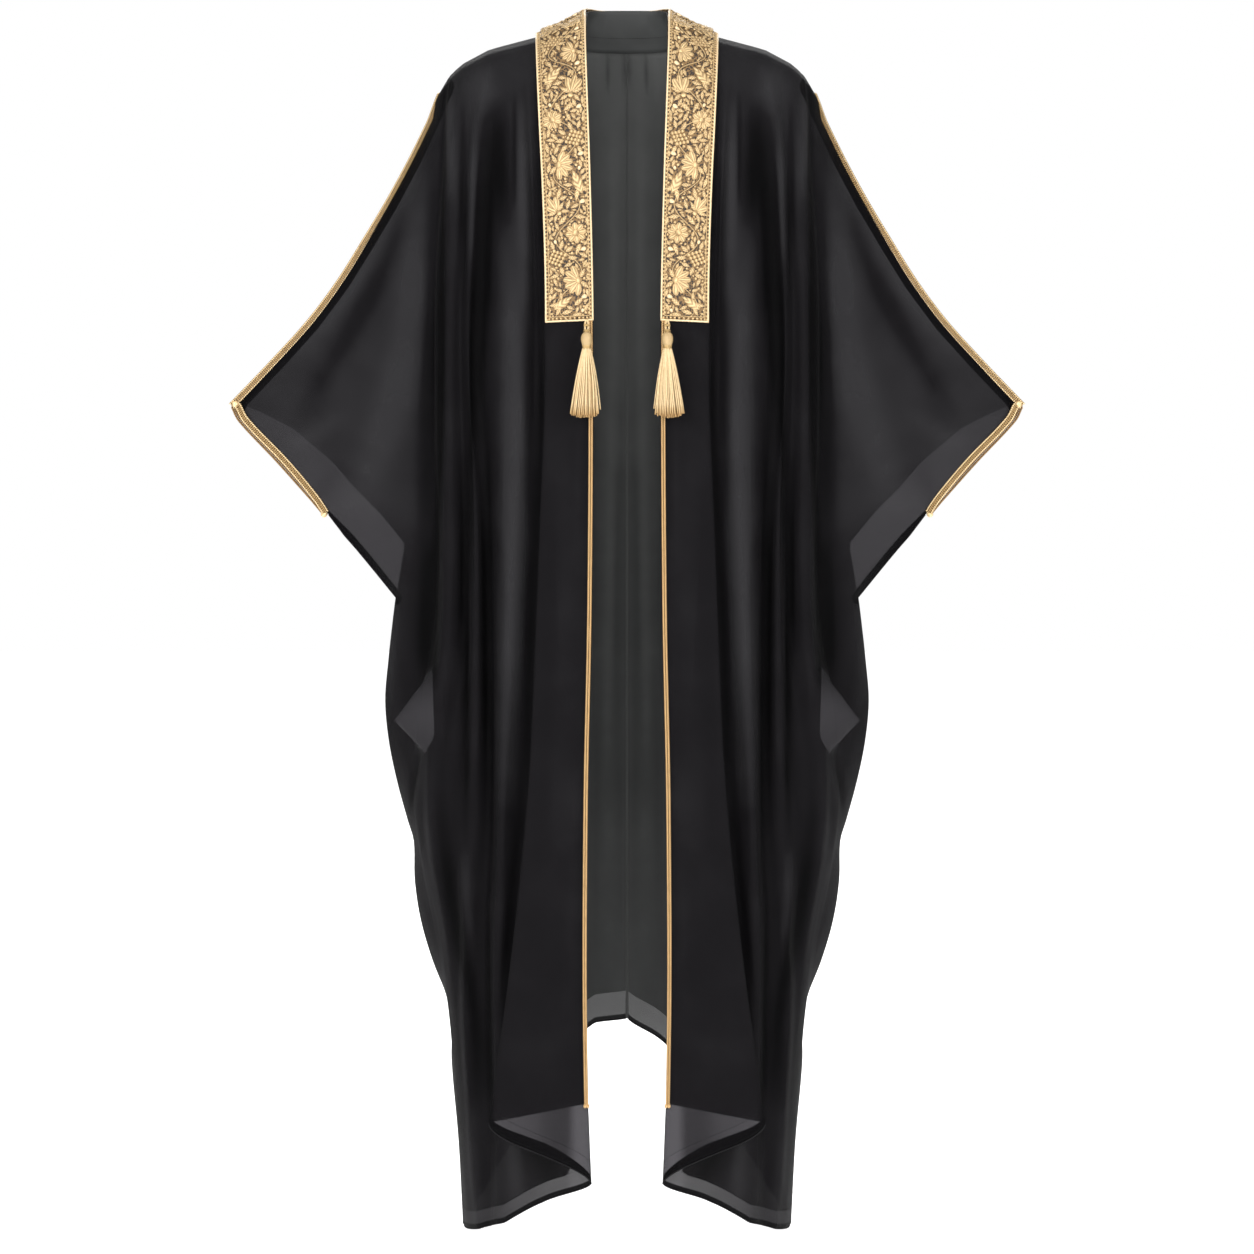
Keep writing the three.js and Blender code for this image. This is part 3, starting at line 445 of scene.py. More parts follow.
def wall_faces(rows, cols):
    """Quads of a closed wall: outer grid, then inner grid, then the four edges between them."""
    n = rows * cols
    j, i = np.meshgrid(np.arange(rows - 1), np.arange(cols - 1), indexing="ij")
    a = (j * cols + i).ravel()
    outer = np.c_[a, a + 1, a + 1 + cols, a + cols]
    inner = np.c_[a, a + cols, a + 1 + cols, a + 1] + n
    i = np.arange(cols - 1)
    foot = (rows - 1) * cols
    top_edge = np.c_[i, i + n, i + 1 + n, i + 1]
    foot_edge = np.c_[foot + i, foot + i + 1, foot + i + 1 + n, foot + i + n]
    j = np.arange(rows - 1) * cols
    first_edge = np.c_[j, j + cols, j + cols + n, j + n]
    last_edge = np.c_[j + cols - 1, j + cols - 1 + n, j + 2 * cols - 1 + n, j + 2 * cols - 1]
    return np.vstack([outer, inner, top_edge, foot_edge, first_edge, last_edge])


def facing_out(points, faces):
    """Faces turned so that the closed mesh has a positive volume."""
    tri = points[faces]
    volume = np.einsum("ij,ij->i", tri[:, 0], np.cross(tri[:, 1], tri[:, 2])).sum()
    if faces.shape[1] == 4:
        volume += np.einsum("ij,ij->i", tri[:, 0], np.cross(tri[:, 2], tri[:, 3])).sum()
    return faces if volume > 0 else faces[:, ::-1]


def new_piece(name, points, faces, smooth=True, uv=None, values=None):
    """A mesh object in metres from points in millimetres; uv and values are given at the points."""
    mesh = bpy.data.meshes.new(name)
    mesh.vertices.add(len(points))
    mesh.vertices.foreach_set("co", (np.asarray(points, float) / 1000).ravel())
    faces = [np.asarray(f) for f in (faces if isinstance(faces, list) else [faces])]
    corners = np.concatenate([f.ravel() for f in faces])
    sizes = np.concatenate([np.full(len(f), f.shape[1]) for f in faces])
    mesh.loops.add(len(corners))
    mesh.loops.foreach_set("vertex_index", corners)
    mesh.polygons.add(len(sizes))
    mesh.polygons.foreach_set("loop_start", np.r_[0, np.cumsum(sizes)[:-1]])
    mesh.update(calc_edges=True)
    if uv is not None:
        layer = mesh.uv_layers.new(name="cloth")
        layer.data.foreach_set("uv", (np.asarray(uv, float)[corners] / 1000).ravel())
    for key, value in (values or {}).items():
        attribute = mesh.attributes.new(key, "FLOAT", "POINT")
        attribute.data.foreach_set("value", np.asarray(value, np.float32))
    mesh.polygons.foreach_set("use_smooth", np.full(len(sizes), smooth))
    mesh.validate()
    obj = bpy.data.objects.new(name, mesh)
    bpy.context.scene.collection.objects.link(obj)
    return obj


def mirror(points, sign):
    return np.asarray(points) * np.array([sign, 1, 1])


def cloth_uv(grid):
    """Lengths along the cloth, across and down, in millimetres."""
    across = np.linalg.norm(np.diff(grid, axis=1), axis=2)
    across = np.c_[np.zeros(len(grid)), np.cumsum(across, axis=1)]
    down = np.linalg.norm(np.diff(grid, axis=0), axis=2)
    down = np.vstack([np.zeros(grid.shape[1]), np.cumsum(down, axis=0)])
    return np.stack([across, -down], axis=2)


def wall_piece(name, grid, normals, sign, values=None):
    uv = cloth_uv(grid)
    outer, inner = grid + normals * CLOTH / 2, grid - normals * CLOTH / 2
    if name.startswith("back"):
        outer[:, 0, 0] = inner[:, 0, 0] = -SEAM_HALF
    points = mirror(np.vstack([outer.reshape(-1, 3), inner.reshape(-1, 3)]), sign)
    faces = facing_out(points, wall_faces(*grid.shape[:2]))
    both = {key: np.r_[value.ravel(), value.ravel()] for key, value in (values or {}).items()}
    uv = uv.reshape(-1, 2)
    return new_piece(name, points, faces, uv=np.vstack([uv, uv]), values=both)


front_grid, front_normals = joined_flat(front_grid, front_levels, -1)
back_grid, back_normals = joined_flat(back_grid, back_levels, 1)
back_grid_lean, back_normals_lean = joined_flat(back_grid_lean, back_levels, 1)
print("walls ready")

# %% [markdown]
# ## Sheer borders
# The body of the robe is two layers of georgette. Along the hem and the sleeve's lower edge
# only one layer runs on, so a border lets light through, and a narrow turned hem makes a
# dark strip at the very edge. The border's lighter grey is partly the single layer's own
# look and partly painted light from behind. Each point of the cloth stores how deep it lies
# in the border and in the strip, and the material cuts a sharp line where that number passes
# zero. Each point also stores its crease's painted shade or highlight, with a painted glow
# that is lighter towards the top and on the sleeve.

# %% Depth into the borders
def distance_to_path(grid, path):
    """Distance in the front view from each point to a path of (x, z) corners."""
    flat = grid[:, :, [0, 2]]
    path = np.array(path, float)
    best = np.full(flat.shape[:2], 1e9)
    for a, b in zip(path[:-1], path[1:]):
        along = b - a
        t = np.clip(((flat - a) @ along) / (along @ along), 0, 1)
        best = np.minimum(best, np.linalg.norm(flat - (a + t[:, :, None] * along), axis=2))
    return best


SLEEVE_LOWER = [(475, TIP), (362.5, CUFF_END), (332.5, -603), (312, -627), (276, UNDERARM)]
SLEEVE_BORDER, HEM_BORDER, BACK_BORDER = 51.0, 21.0, 35.0
UNDER_EDGE = 65.0
PLEAT_STRIP = ([42, 60, 90, 130, 165, 182], [7, 11, 16, 14, 10, 8])
SLEEVE_STRIP, HEM_STRIP, TOP_STRIP = 9.0, 6.0, 17.0


def height_above_hem(grid):
    """Length along the cloth up from the hem."""
    step = np.linalg.norm(np.diff(grid, axis=0), axis=2)[::-1]
    return np.vstack([np.zeros(grid.shape[1]), np.cumsum(step, axis=0)])[::-1]


SIDE_FLAP = [(228, -749), (276, -814), (238, -852), (226, -830)]


def inside_outline(x, z, corners):
    """Signed depth inside a convex outline whose corners run round it."""
    depth = np.full(x.shape, 1e3)
    middle = np.mean(corners, axis=0)
    for (ax, az), (bx, bz) in zip(corners, corners[1:] + corners[:1]):
        long = math.hypot(bx - ax, bz - az)
        side = ((bx - ax) * (z - az) - (bz - az) * (x - ax)) / long
        centre = ((bx - ax) * (middle[1] - az) - (bz - az) * (middle[0] - ax)) / long
        depth = np.minimum(depth, side * np.sign(centre))
    return depth


def border_values(grid, facing, fold_light_tone):
    x, z = grid[:, :, 0], grid[:, :, 2]
    from_edge = distance_to_path(grid, SLEEVE_LOWER)
    up = height_above_hem(grid)
    inner_line = x - (263 - 0.19 * (z + 608))
    border_wide = np.interp(-z, [436, 452, 470, 510, 600], [6, 26, 42, SLEEVE_BORDER + 1, SLEEVE_BORDER])
    sleeve = np.minimum(np.minimum(border_wide - from_edge, inner_line), z - UNDERARM + 5)
    hem = (HEM_BORDER if facing < 0 else BACK_BORDER) - up
    thin_at = [440, 500, 560, 640, 700, 760, 800, 860, 1100, 1190, 1230]
    thin = np.interp(-z, thin_at, [0.1, 0.3, 0.6, 0.9, 0.9, 0.3, 0.9, 0.9, 0.82, 0.82, 1.0])
    thin = np.where(z < -1310, np.interp(x, [90, 130, 172], [0.95, 0.6, 0.1]), thin)
    # How far the border goes to its lighter grey: partly the single layer's own greyer look, partly painted
    # light from behind, varied by height.
    pale = np.interp(
        -z, [440, 500, 560, 640, 700, 760, 800, 860, 1100],
        [0.1, 0.16, 0.25, 0.29, 0.29, 0.15, 0.29, 0.2, 0.16]
    )
    if facing < 0:
        col = np.arange(grid.shape[1])[None, :]
        flap = -1254 - 0.2018 * (x - 49) - z
        pleat = col <= 4.5 * FRONT_FINER
        behind = (col <= columns[4]) & ~pleat & (z < -1300)
        hem = np.where(pleat, flap, np.where(behind, np.maximum(hem, UNDER_EDGE - x), hem))
        pale = np.where(
            pleat,
            np.interp(x, [UNDER_EDGE - 1, UNDER_EDGE + 1, 88, 108, 150], [0.72, 0.24, 0.22, 0.4, 0.5]),
            pale
        )
        pale = np.where(behind, np.interp(x, [UNDER_EDGE - 1, UNDER_EDGE + 1, 120], [0.5, 0.2, 0.2]), pale)
        on_side = (col >= FLAP_COLUMNS[0]) & (col <= FLAP_COLUMNS[1])
        hem = np.where(on_side, np.maximum(hem, inside_outline(x, z, SIDE_FLAP)), hem)
    from_top = distance_to_path(grid, [(out, at) for at, out in OUTLINE[4:13]])
    rolled = np.where(pleat, np.interp(x, *PLEAT_STRIP), HEM_STRIP) if facing < 0 else HEM_STRIP
    strip = np.maximum(np.maximum(SLEEVE_STRIP - from_edge, rolled - up), TOP_STRIP - from_top)
    # Painted light: the colour is painted lighter towards the top of each panel and on the sleeve wing, added
    # to the crease's painted highlight and shade.
    painted_glow = np.interp(-z, *(FRONT_PAINTED_GLOW if facing < 0 else BACK_PAINTED_GLOW))
    if facing < 0:
        painted_glow = painted_glow + SLEEVE_PAINTED_GLOW * np.clip((x - 232) / 25, 0, 1) * np.clip((z + 640) / 80, 0, 1)
    painted_fold_light = fold_light_tone + painted_glow
    return {
        "border": np.maximum(sleeve, hem) / 1000, "strip": strip / 1000, "painted_fold_light": np.clip(painted_fold_light, -1, 1),
        "thin": thin, "pale": pale
    }


# How much painted light is added by height, and on the sleeve wing.
SLEEVE_PAINTED_GLOW = 0.5
FRONT_PAINTED_GLOW = ([60, 180, 320], [0.38, 0.22, 0.0])
BACK_PAINTED_GLOW = ([60, 300, 700, 1000], [0.9, 0.55, 0.1, 0.0])
columns = np.cumsum([0] + [line[4] * FRONT_FINER for line in FRONT_LINES])
FLAP_COLUMNS = (columns[8], columns[10])
front_values = border_values(front_grid, -1, front_painted_fold_light)
back_values = border_values(back_grid, 1, back_painted_fold_light)
back_values_lean = border_values(back_grid_lean, 1, back_painted_fold_light_lean)

# %% Panels
cloth_pieces = {}
for side, sign in (("left", 1), ("right", -1)):
    cloth_pieces["front_" + side] = wall_piece(
        "front_cloth_" + side, front_grid, front_normals, sign, front_values
    )
    if sign > 0:
        grid, normals, values = back_grid_lean, back_normals_lean, back_values_lean
    else:
        grid, normals, values = back_grid, back_normals, back_values
    cloth_pieces["back_" + side] = wall_piece("back_cloth_" + side, grid, normals, sign, values)
for name, piece in cloth_pieces.items():
    print(name, len(piece.data.polygons), "faces")

# %% [markdown]
# ## Finishes
# Georgette is a thin crepe: dull, slightly grainy, with a soft light bloom where it turns
# away; its colour also carries painted shade in the creases and painted highlight on the
# ridges. Gold thread is metal wrapped round silk, so it is a metal with a fine twist in its
# bump, and its colour is painted darker between the stitch ribs, lighter on them, with random
# painted glints. The grain of the crepe and the twist of the thread serve several finishes,
# so each is a node group, placed in every material with its own values.

# %% Node helpers
def group_sockets(tree, inputs, outputs):
    for name, kind, value in inputs:
        socket = tree.interface.new_socket(name, in_out="INPUT", socket_type="NodeSocket" + kind)
        if value is not None:
            socket.default_value = value
    for name, kind in outputs:
        tree.interface.new_socket(name, in_out="OUTPUT", socket_type="NodeSocket" + kind)


def math_node(tree, operation, a, b=None, clamp=False):
    node = tree.nodes.new("ShaderNodeMath")
    node.operation = operation
    node.use_clamp = clamp
    for slot_index, value in enumerate((a, b)):
        if value is None:
            continue
        if isinstance(value, (int, float)):
            node.inputs[slot_index].default_value = value
        else:
            tree.links.new(value, node.inputs[slot_index])
    return node.outputs[0]


def mix_colours(tree, share, a, b):
    node = tree.nodes.new("ShaderNodeMix")
    node.data_type = "RGBA"
    for name, value in (("Factor", share), ("A", a), ("B", b)):
        socket = node.inputs[0]
        if name != "Factor":
            socket = [s for s in node.inputs if s.name == name and s.type == "RGBA"][0]
        if isinstance(value, (int, float, tuple)):
            socket.default_value = (*value, 1.0) if isinstance(value, tuple) else value
        else:
            tree.links.new(value, socket)
    return [s for s in node.outputs if s.type == "RGBA"][0]


def noise_node(tree, vector, scale, detail=2.0, roughness=0.5):
    node = tree.nodes.new("ShaderNodeTexNoise")
    node.inputs["Scale"].default_value = scale
    node.inputs["Detail"].default_value = detail
    node.inputs["Roughness"].default_value = roughness
    tree.links.new(vector, node.inputs["Vector"])
    return node.outputs["Fac"]


# %% Crepe grain and thread twist, as shader groups
crepe = bpy.data.node_groups.new("crepe_grain", "ShaderNodeTree")
group_sockets(
    crepe,
    [
        ("Coordinates", "Vector", None),
        ("Threads per metre", "Float", 1500.0),
        ("Softness", "Float", 0.5)
    ],
    [("Height", "Float"), ("Mottle", "Float")]
)
_in, _out = crepe.nodes.new("NodeGroupInput"), crepe.nodes.new("NodeGroupOutput")
split = crepe.nodes.new("ShaderNodeSeparateXYZ")
crepe.links.new(_in.outputs["Coordinates"], split.inputs[0])
waves = []
for axis in (0, 1):
    turns = math_node(crepe, "MULTIPLY", split.outputs[axis], _in.outputs["Threads per metre"])
    waves.append(math_node(crepe, "SINE", math_node(crepe, "MULTIPLY", turns, 2 * math.pi)))
weave = math_node(crepe, "MULTIPLY", waves[0], waves[1])
pebble = noise_node(crepe, _in.outputs["Coordinates"], 900.0, 2.0, 0.6)
mottle = noise_node(crepe, _in.outputs["Coordinates"], 14.0, 3.0, 0.55)
crepe.links.new(
    math_node(crepe, "ADD", math_node(crepe, "MULTIPLY", weave, 0.35), pebble), _out.inputs["Height"]
)
crepe.links.new(mottle, _out.inputs["Mottle"])

twist = bpy.data.node_groups.new("thread_twist", "ShaderNodeTree")
group_sockets(
    twist,
    [
        ("Coordinates", "Vector", None),
        ("Place", "Vector", None),
        ("Turns", "Float", 900.0),
        ("Slant", "Float", 0.6)
    ],
    [("Height", "Float"), ("Painted glint", "Float"), ("Rib shade", "Float")]
)
_in, _out = twist.nodes.new("NodeGroupInput"), twist.nodes.new("NodeGroupOutput")
split = twist.nodes.new("ShaderNodeSeparateXYZ")
twist.links.new(_in.outputs["Coordinates"], split.inputs[0])
slanted = math_node(
    twist, "ADD", split.outputs[0], math_node(twist, "MULTIPLY", split.outputs[1], _in.outputs["Slant"])
)
# The rib wave shapes the bump and also paints shade between the stitch ribs and highlight on their crests.
ridge = math_node(twist, "SINE", math_node(twist, "MULTIPLY", slanted, _in.outputs["Turns"]))
# Random noise for the bump and for painted glints in the colour.
glint = noise_node(twist, _in.outputs["Place"], 260.0, 2.0, 0.6)
twist.links.new(
    math_node(
        twist, "ADD", math_node(twist, "MULTIPLY", ridge, 0.5), math_node(twist, "MULTIPLY", glint, 0.6)
    ),
    _out.inputs["Height"]
)
twist.links.new(glint, _out.inputs["Painted glint"])
twist.links.new(math_node(twist, "ADD", math_node(twist, "MULTIPLY", ridge, 0.5), 0.5), _out.inputs["Rib shade"])
print("shader groups:", [g.name for g in bpy.data.node_groups])

# %% Black georgette
def new_material(name):
    material = bpy.data.materials.new(name)
    material.use_nodes = True
    tree = material.node_tree
    shader = tree.nodes["Principled BSDF"]
    return material, tree, shader


def place_group(tree, group, coordinates, **values):
    node = tree.nodes.new("ShaderNodeGroup")
    node.node_tree = group
    tree.links.new(coordinates, node.inputs["Coordinates"])
    for key, value in values.items():
        node.inputs[key.replace("_", " ")].default_value = value
    return node


def add_bump(tree, shader, height, strength, distance):
    bump = tree.nodes.new("ShaderNodeBump")
    bump.inputs["Strength"].default_value = strength
    bump.inputs["Distance"].default_value = distance
    tree.links.new(height, bump.inputs["Height"])
    tree.links.new(bump.outputs["Normal"], shader.inputs["Normal"])


# The cloth's own black, then painted shade for the fold valleys and painted highlight for the fold ridges.
CLOTH_BLACK = (0.0058, 0.0053, 0.0061)
CLOTH_RIDGE_HIGHLIGHT = (0.0200, 0.0194, 0.0208)
CLOTH_VALLEY_SHADE = (0.0009, 0.0008, 0.0010)
# Painted light: the inside of the backs, the stand and the back seam use a far lighter black, standing in for
# light from behind shining through the sheer back, with painted shade and highlight for its folds.
INSIDE_PAINTED_BACKLIGHT = (0.050, 0.0515, 0.0508)
INSIDE_BACKLIGHT_RIDGE_HIGHLIGHT = (0.110, 0.112, 0.110)
INSIDE_BACKLIGHT_VALLEY_SHADE = (0.020, 0.0205, 0.0205)
# The sheer border's grey: partly its own look, partly painted light from behind.
BORDER_GREY_AND_BACKLIGHT = (0.090, 0.0865, 0.0935)
STRIP_BLACK = (0.0022, 0.0020, 0.0024)
BODY_THROUGH, BACK_THROUGH, BORDER_THROUGH = 0.004, 0.008, 0.055
SHARP_LINE = 900.0

# Painted shade and highlight: the crease value, with a little random mottle, mixes the cloth colour towards
# painted shade in the valleys and towards painted highlight on the ridges.
painted_fold_shading = bpy.data.node_groups.new("painted_fold_shading", "ShaderNodeTree")
group_sockets(
    painted_fold_shading,
    [
        ("Painted light", "Float", 0.0),
        ("Mottle", "Float", 0.5),
        ("Valley shade", "Color", None),
        ("Cloth", "Color", None),
        ("Ridge highlight", "Color", None)
    ],
    [("Colour", "Color")]
)
_in, _out = painted_fold_shading.nodes.new("NodeGroupInput"), painted_fold_shading.nodes.new("NodeGroupOutput")
uneven = math_node(
    painted_fold_shading, "ADD", _in.outputs["Painted light"],
    math_node(painted_fold_shading, "MULTIPLY", math_node(painted_fold_shading, "SUBTRACT", _in.outputs["Mottle"], 0.5), 0.7)
)
highlight_share = math_node(painted_fold_shading, "ADD", uneven, 0.0, clamp=True)
shade_share = math_node(painted_fold_shading, "MULTIPLY", uneven, -1.0, clamp=True)
painted_fold_shading.links.new(
    mix_colours(
        painted_fold_shading, shade_share, mix_colours(painted_fold_shading, highlight_share, _in.outputs["Cloth"], _in.outputs["Ridge highlight"]),
        _in.outputs["Valley shade"]
    ),
    _out.inputs["Colour"]
)


def face_alpha(through):
    """A wall has two faces, so each one lets the root of the light through."""
    return 1 - math.sqrt(through)


def read_attribute(tree, name):
    node = tree.nodes.new("ShaderNodeAttribute")
    node.attribute_name = name
    return node.outputs["Fac"]


def georgette(name, bordered, through=BODY_THROUGH, fold_light_tones=(CLOTH_VALLEY_SHADE, CLOTH_BLACK, CLOTH_RIDGE_HIGHLIGHT)):
    material, tree, shader = new_material(name)
    texture = tree.nodes.new("ShaderNodeTexCoord")
    uv = texture.outputs["UV"]
    grain = place_group(tree, crepe, uv)
    shader.inputs["Roughness"].default_value = 0.65
    shader.inputs["Specular IOR Level"].default_value = 0.035
    shader.inputs["Sheen Weight"].default_value = 0.008
    shader.inputs["Sheen Roughness"].default_value = 0.5
    painted_fold_node = tree.nodes.new("ShaderNodeGroup")
    painted_fold_node.node_tree = painted_fold_shading
    tree.links.new(grain.outputs["Mottle"], painted_fold_node.inputs["Mottle"])
    for key, fold_light_tone in zip(("Valley shade", "Cloth", "Ridge highlight"), fold_light_tones):
        painted_fold_node.inputs[key].default_value = (*fold_light_tone, 1)
    colour = painted_fold_node.outputs["Colour"]
    if bordered:
        # The crease value stored on the cloth picks the painted shade or painted highlight.
        tree.links.new(read_attribute(tree, "painted_fold_light"), painted_fold_node.inputs["Painted light"])
        masks = {}
        for key in ("border", "strip"):
            masks[key] = math_node(
                tree, "ADD", math_node(tree, "MULTIPLY", read_attribute(tree, key), SHARP_LINE), 0.5,
                clamp=True
            )
        thin = read_attribute(tree, "thin")
        # The border is mixed towards its grey, which is partly painted light from behind.
        backlight_grey_share = math_node(tree, "MULTIPLY", masks["border"], read_attribute(tree, "pale"))
        colour = mix_colours(tree, backlight_grey_share, colour, BORDER_GREY_AND_BACKLIGHT)
        colour = mix_colours(tree, masks["strip"], colour, STRIP_BLACK)
        inside = math_node(
            tree, "MULTIPLY", math_node(tree, "MULTIPLY", masks["border"], thin),
            math_node(tree, "SUBTRACT", 1.0, masks["strip"])
        )
        full = face_alpha(through)
        loss = math_node(tree, "MULTIPLY", inside, full - face_alpha(BORDER_THROUGH))
        tree.links.new(math_node(tree, "SUBTRACT", full, loss), shader.inputs["Alpha"])
    tree.links.new(colour, shader.inputs["Base Color"])
    add_bump(tree, shader, grain.outputs["Height"], 0.25, 0.0003)
    return material


georgette_fronts = georgette("black_georgette_fronts", True)
georgette_backs = georgette("black_georgette_backs", True, through=BACK_THROUGH)
# Lit copies: the inside of the backs, the stand and the back seam are painted lighter, as if light shone
# through the sheer back.
georgette_inside = georgette(
    "black_georgette_inside", True, through=BACK_THROUGH,
    fold_light_tones=(INSIDE_BACKLIGHT_VALLEY_SHADE, INSIDE_PAINTED_BACKLIGHT, INSIDE_BACKLIGHT_RIDGE_HIGHLIGHT)
)
georgette_stand = georgette("black_georgette_stand", False, fold_light_tones=(INSIDE_BACKLIGHT_VALLEY_SHADE, INSIDE_PAINTED_BACKLIGHT, INSIDE_BACKLIGHT_RIDGE_HIGHLIGHT))
georgette_seam = georgette("black_georgette_seam", False, fold_light_tones=(INSIDE_PAINTED_BACKLIGHT, INSIDE_BACKLIGHT_RIDGE_HIGHLIGHT, INSIDE_BACKLIGHT_RIDGE_HIGHLIGHT))

# %% Gold finishes
def gold_thread(name, painted_light, painted_shade, metallic, roughness, turns, slant, depth, rib_shade=0.5, ends=None):
    material, tree, shader = new_material(name)
    texture = tree.nodes.new("ShaderNodeTexCoord")
    thread = place_group(tree, twist, texture.outputs["UV"], Turns=turns, Slant=slant)
    tree.links.new(texture.outputs["Object"], thread.inputs["Place"])
    # The colour runs from the painted shade colour to the lit colour by the painted rib shade and the painted
    # glints.
    shade = math_node(
        tree, "ADD", math_node(tree, "MULTIPLY", thread.outputs["Rib shade"], rib_shade),
        math_node(tree, "MULTIPLY", thread.outputs["Painted glint"], 1.0 - rib_shade * 0.5), clamp=True
    )
    colour = mix_colours(tree, shade, painted_shade, painted_light)
    if ends:
        length = tree.nodes.new("ShaderNodeSeparateXYZ")
        tree.links.new(texture.outputs["UV"], length.inputs[0])
        cut_end = math_node(
            tree, "MULTIPLY", math_node(tree, "SUBTRACT", length.outputs[0], 0.064), 1 / 0.012,
            clamp=True
        )
        colour = mix_colours(tree, math_node(tree, "MULTIPLY", cut_end, 0.85), colour, ends)
    tree.links.new(colour, shader.inputs["Base Color"])
    shader.inputs["Metallic"].default_value = metallic
    shader.inputs["Roughness"].default_value = roughness
    add_bump(tree, shader, thread.outputs["Height"], 0.6, depth)
    return material


ONE_RIB = 2000 * math.pi
embroidery_gold = gold_thread(
    "gold_embroidery_thread", (0.645, 0.46, 0.235), (0.12, 0.064, 0.017), 0.3, 0.42, ONE_RIB, 0.0,
    0.0003, rib_shade=0.75
)
bright_gold = gold_thread(
    "gold_bright_thread", (0.84, 0.66, 0.42), (0.52, 0.36, 0.18), 0.2, 0.38, ONE_RIB, 0.0, 0.0002,
    rib_shade=0.4
)
braid_gold = gold_thread(
    "gold_braid_thread", (0.70, 0.46, 0.215), (0.26, 0.145, 0.045), 0.35, 0.42, 6000.0, 0.7, 0.0002
)
plait_gold = gold_thread(
    "gold_plait_thread", (0.64, 0.45, 0.20), (0.24, 0.145, 0.05), 0.35, 0.42, 6000.0, 0.7, 0.0002
)
rim_gold = gold_thread(
    "gold_rim_thread", (0.88, 0.69, 0.40), (0.50, 0.34, 0.15), 0.3, 0.4, 6000.0, 0.7, 0.0002
)
braid_core_gold = gold_thread(
    "gold_braid_core", (0.22, 0.125, 0.045), (0.10, 0.05, 0.015), 0.3, 0.5, 6000.0, 0.7, 0.0002
)
# A darker brown gold: the piping's core between its lays, and painted shade on the cuff braid's faces that
# turn into the hand opening.
braid_core_and_shade_gold = gold_thread(
    "gold_braid_core_and_painted_shade", (0.40, 0.245, 0.10), (0.17, 0.09, 0.03), 0.3, 0.5, 6000.0, 0.7, 0.0002
)
skirt_gold = gold_thread(
    "gold_satin_skirt", (0.80, 0.62, 0.37), (0.46, 0.32, 0.14), 0.05, 0.42, 9000.0, 0.3, 0.00012,
    rib_shade=0.2, ends=(0.36, 0.20, 0.06)
)
head_gold = gold_thread(
    "gold_satin_head", (0.52, 0.375, 0.19), (0.30, 0.19, 0.075), 0.05, 0.42, 9000.0, 0.3, 0.00012,
    rib_shade=0.3
)
# The band's ground: a net whose dark brown-gold is partly its own thread and partly painted shade between the
# raised motifs; its holes are painted near black, like the cloth beneath.
ground_material, _tree, _shader = new_material("band_ground_net")
_texture = _tree.nodes.new("ShaderNodeTexCoord")
_holes = _tree.nodes.new("ShaderNodeTexVoronoi")
_holes.inputs["Scale"].default_value = 1 / 0.0023
_tree.links.new(_texture.outputs["UV"], _holes.inputs["Vector"])
_net = math_node(
    _tree, "MULTIPLY", math_node(_tree, "SUBTRACT", _holes.outputs["Distance"], 0.42), 6.0, clamp=True
)
_tree.links.new(
    mix_colours(_tree, _net, (0.012, 0.005, 0.0015), (0.17, 0.095, 0.03)), _shader.inputs["Base Color"]
)
_shader.inputs["Roughness"].default_value = 0.6
add_bump(_tree, _shader, _net, 0.6, 0.0005)
for name, piece in cloth_pieces.items():
    piece.data.materials.append(georgette_fronts if name.startswith("front") else georgette_backs)
    if name.startswith("back"):
        # The inner faces of the backs take the copy painted with light from behind.
        piece.data.materials.append(georgette_inside)
        quads = (back_grid.shape[0] - 1) * (back_grid.shape[1] - 1)
        inner = np.zeros(len(piece.data.polygons), np.int32)
        inner[quads : 2 * quads] = 1
        piece.data.polygons.foreach_set("material_index", inner)
print("materials:", [m.name for m in bpy.data.materials])

# %% [markdown]
# ## Trees that repeat a shape
# Stitches, plaits, beads and embroidered petals are one small shape set down hundreds of
# times. A Geometry Nodes tree does that: it reads the place, turn and size of each one from
# points, puts a small shape there, and makes it real. A second tree draws a cord of a given
# thickness along a path.

# %% Tree: a shape at every point
def tree_nodes(tree, *kinds):
    return [tree.nodes.new(kind) for kind in kinds]


def named(tree, name, kind):
    node = tree.nodes.new("GeometryNodeInputNamedAttribute")
    node.data_type = kind
    node.inputs["Name"].default_value = name
    return [s for s in node.outputs if s.enabled and s.name == "Attribute"][0]


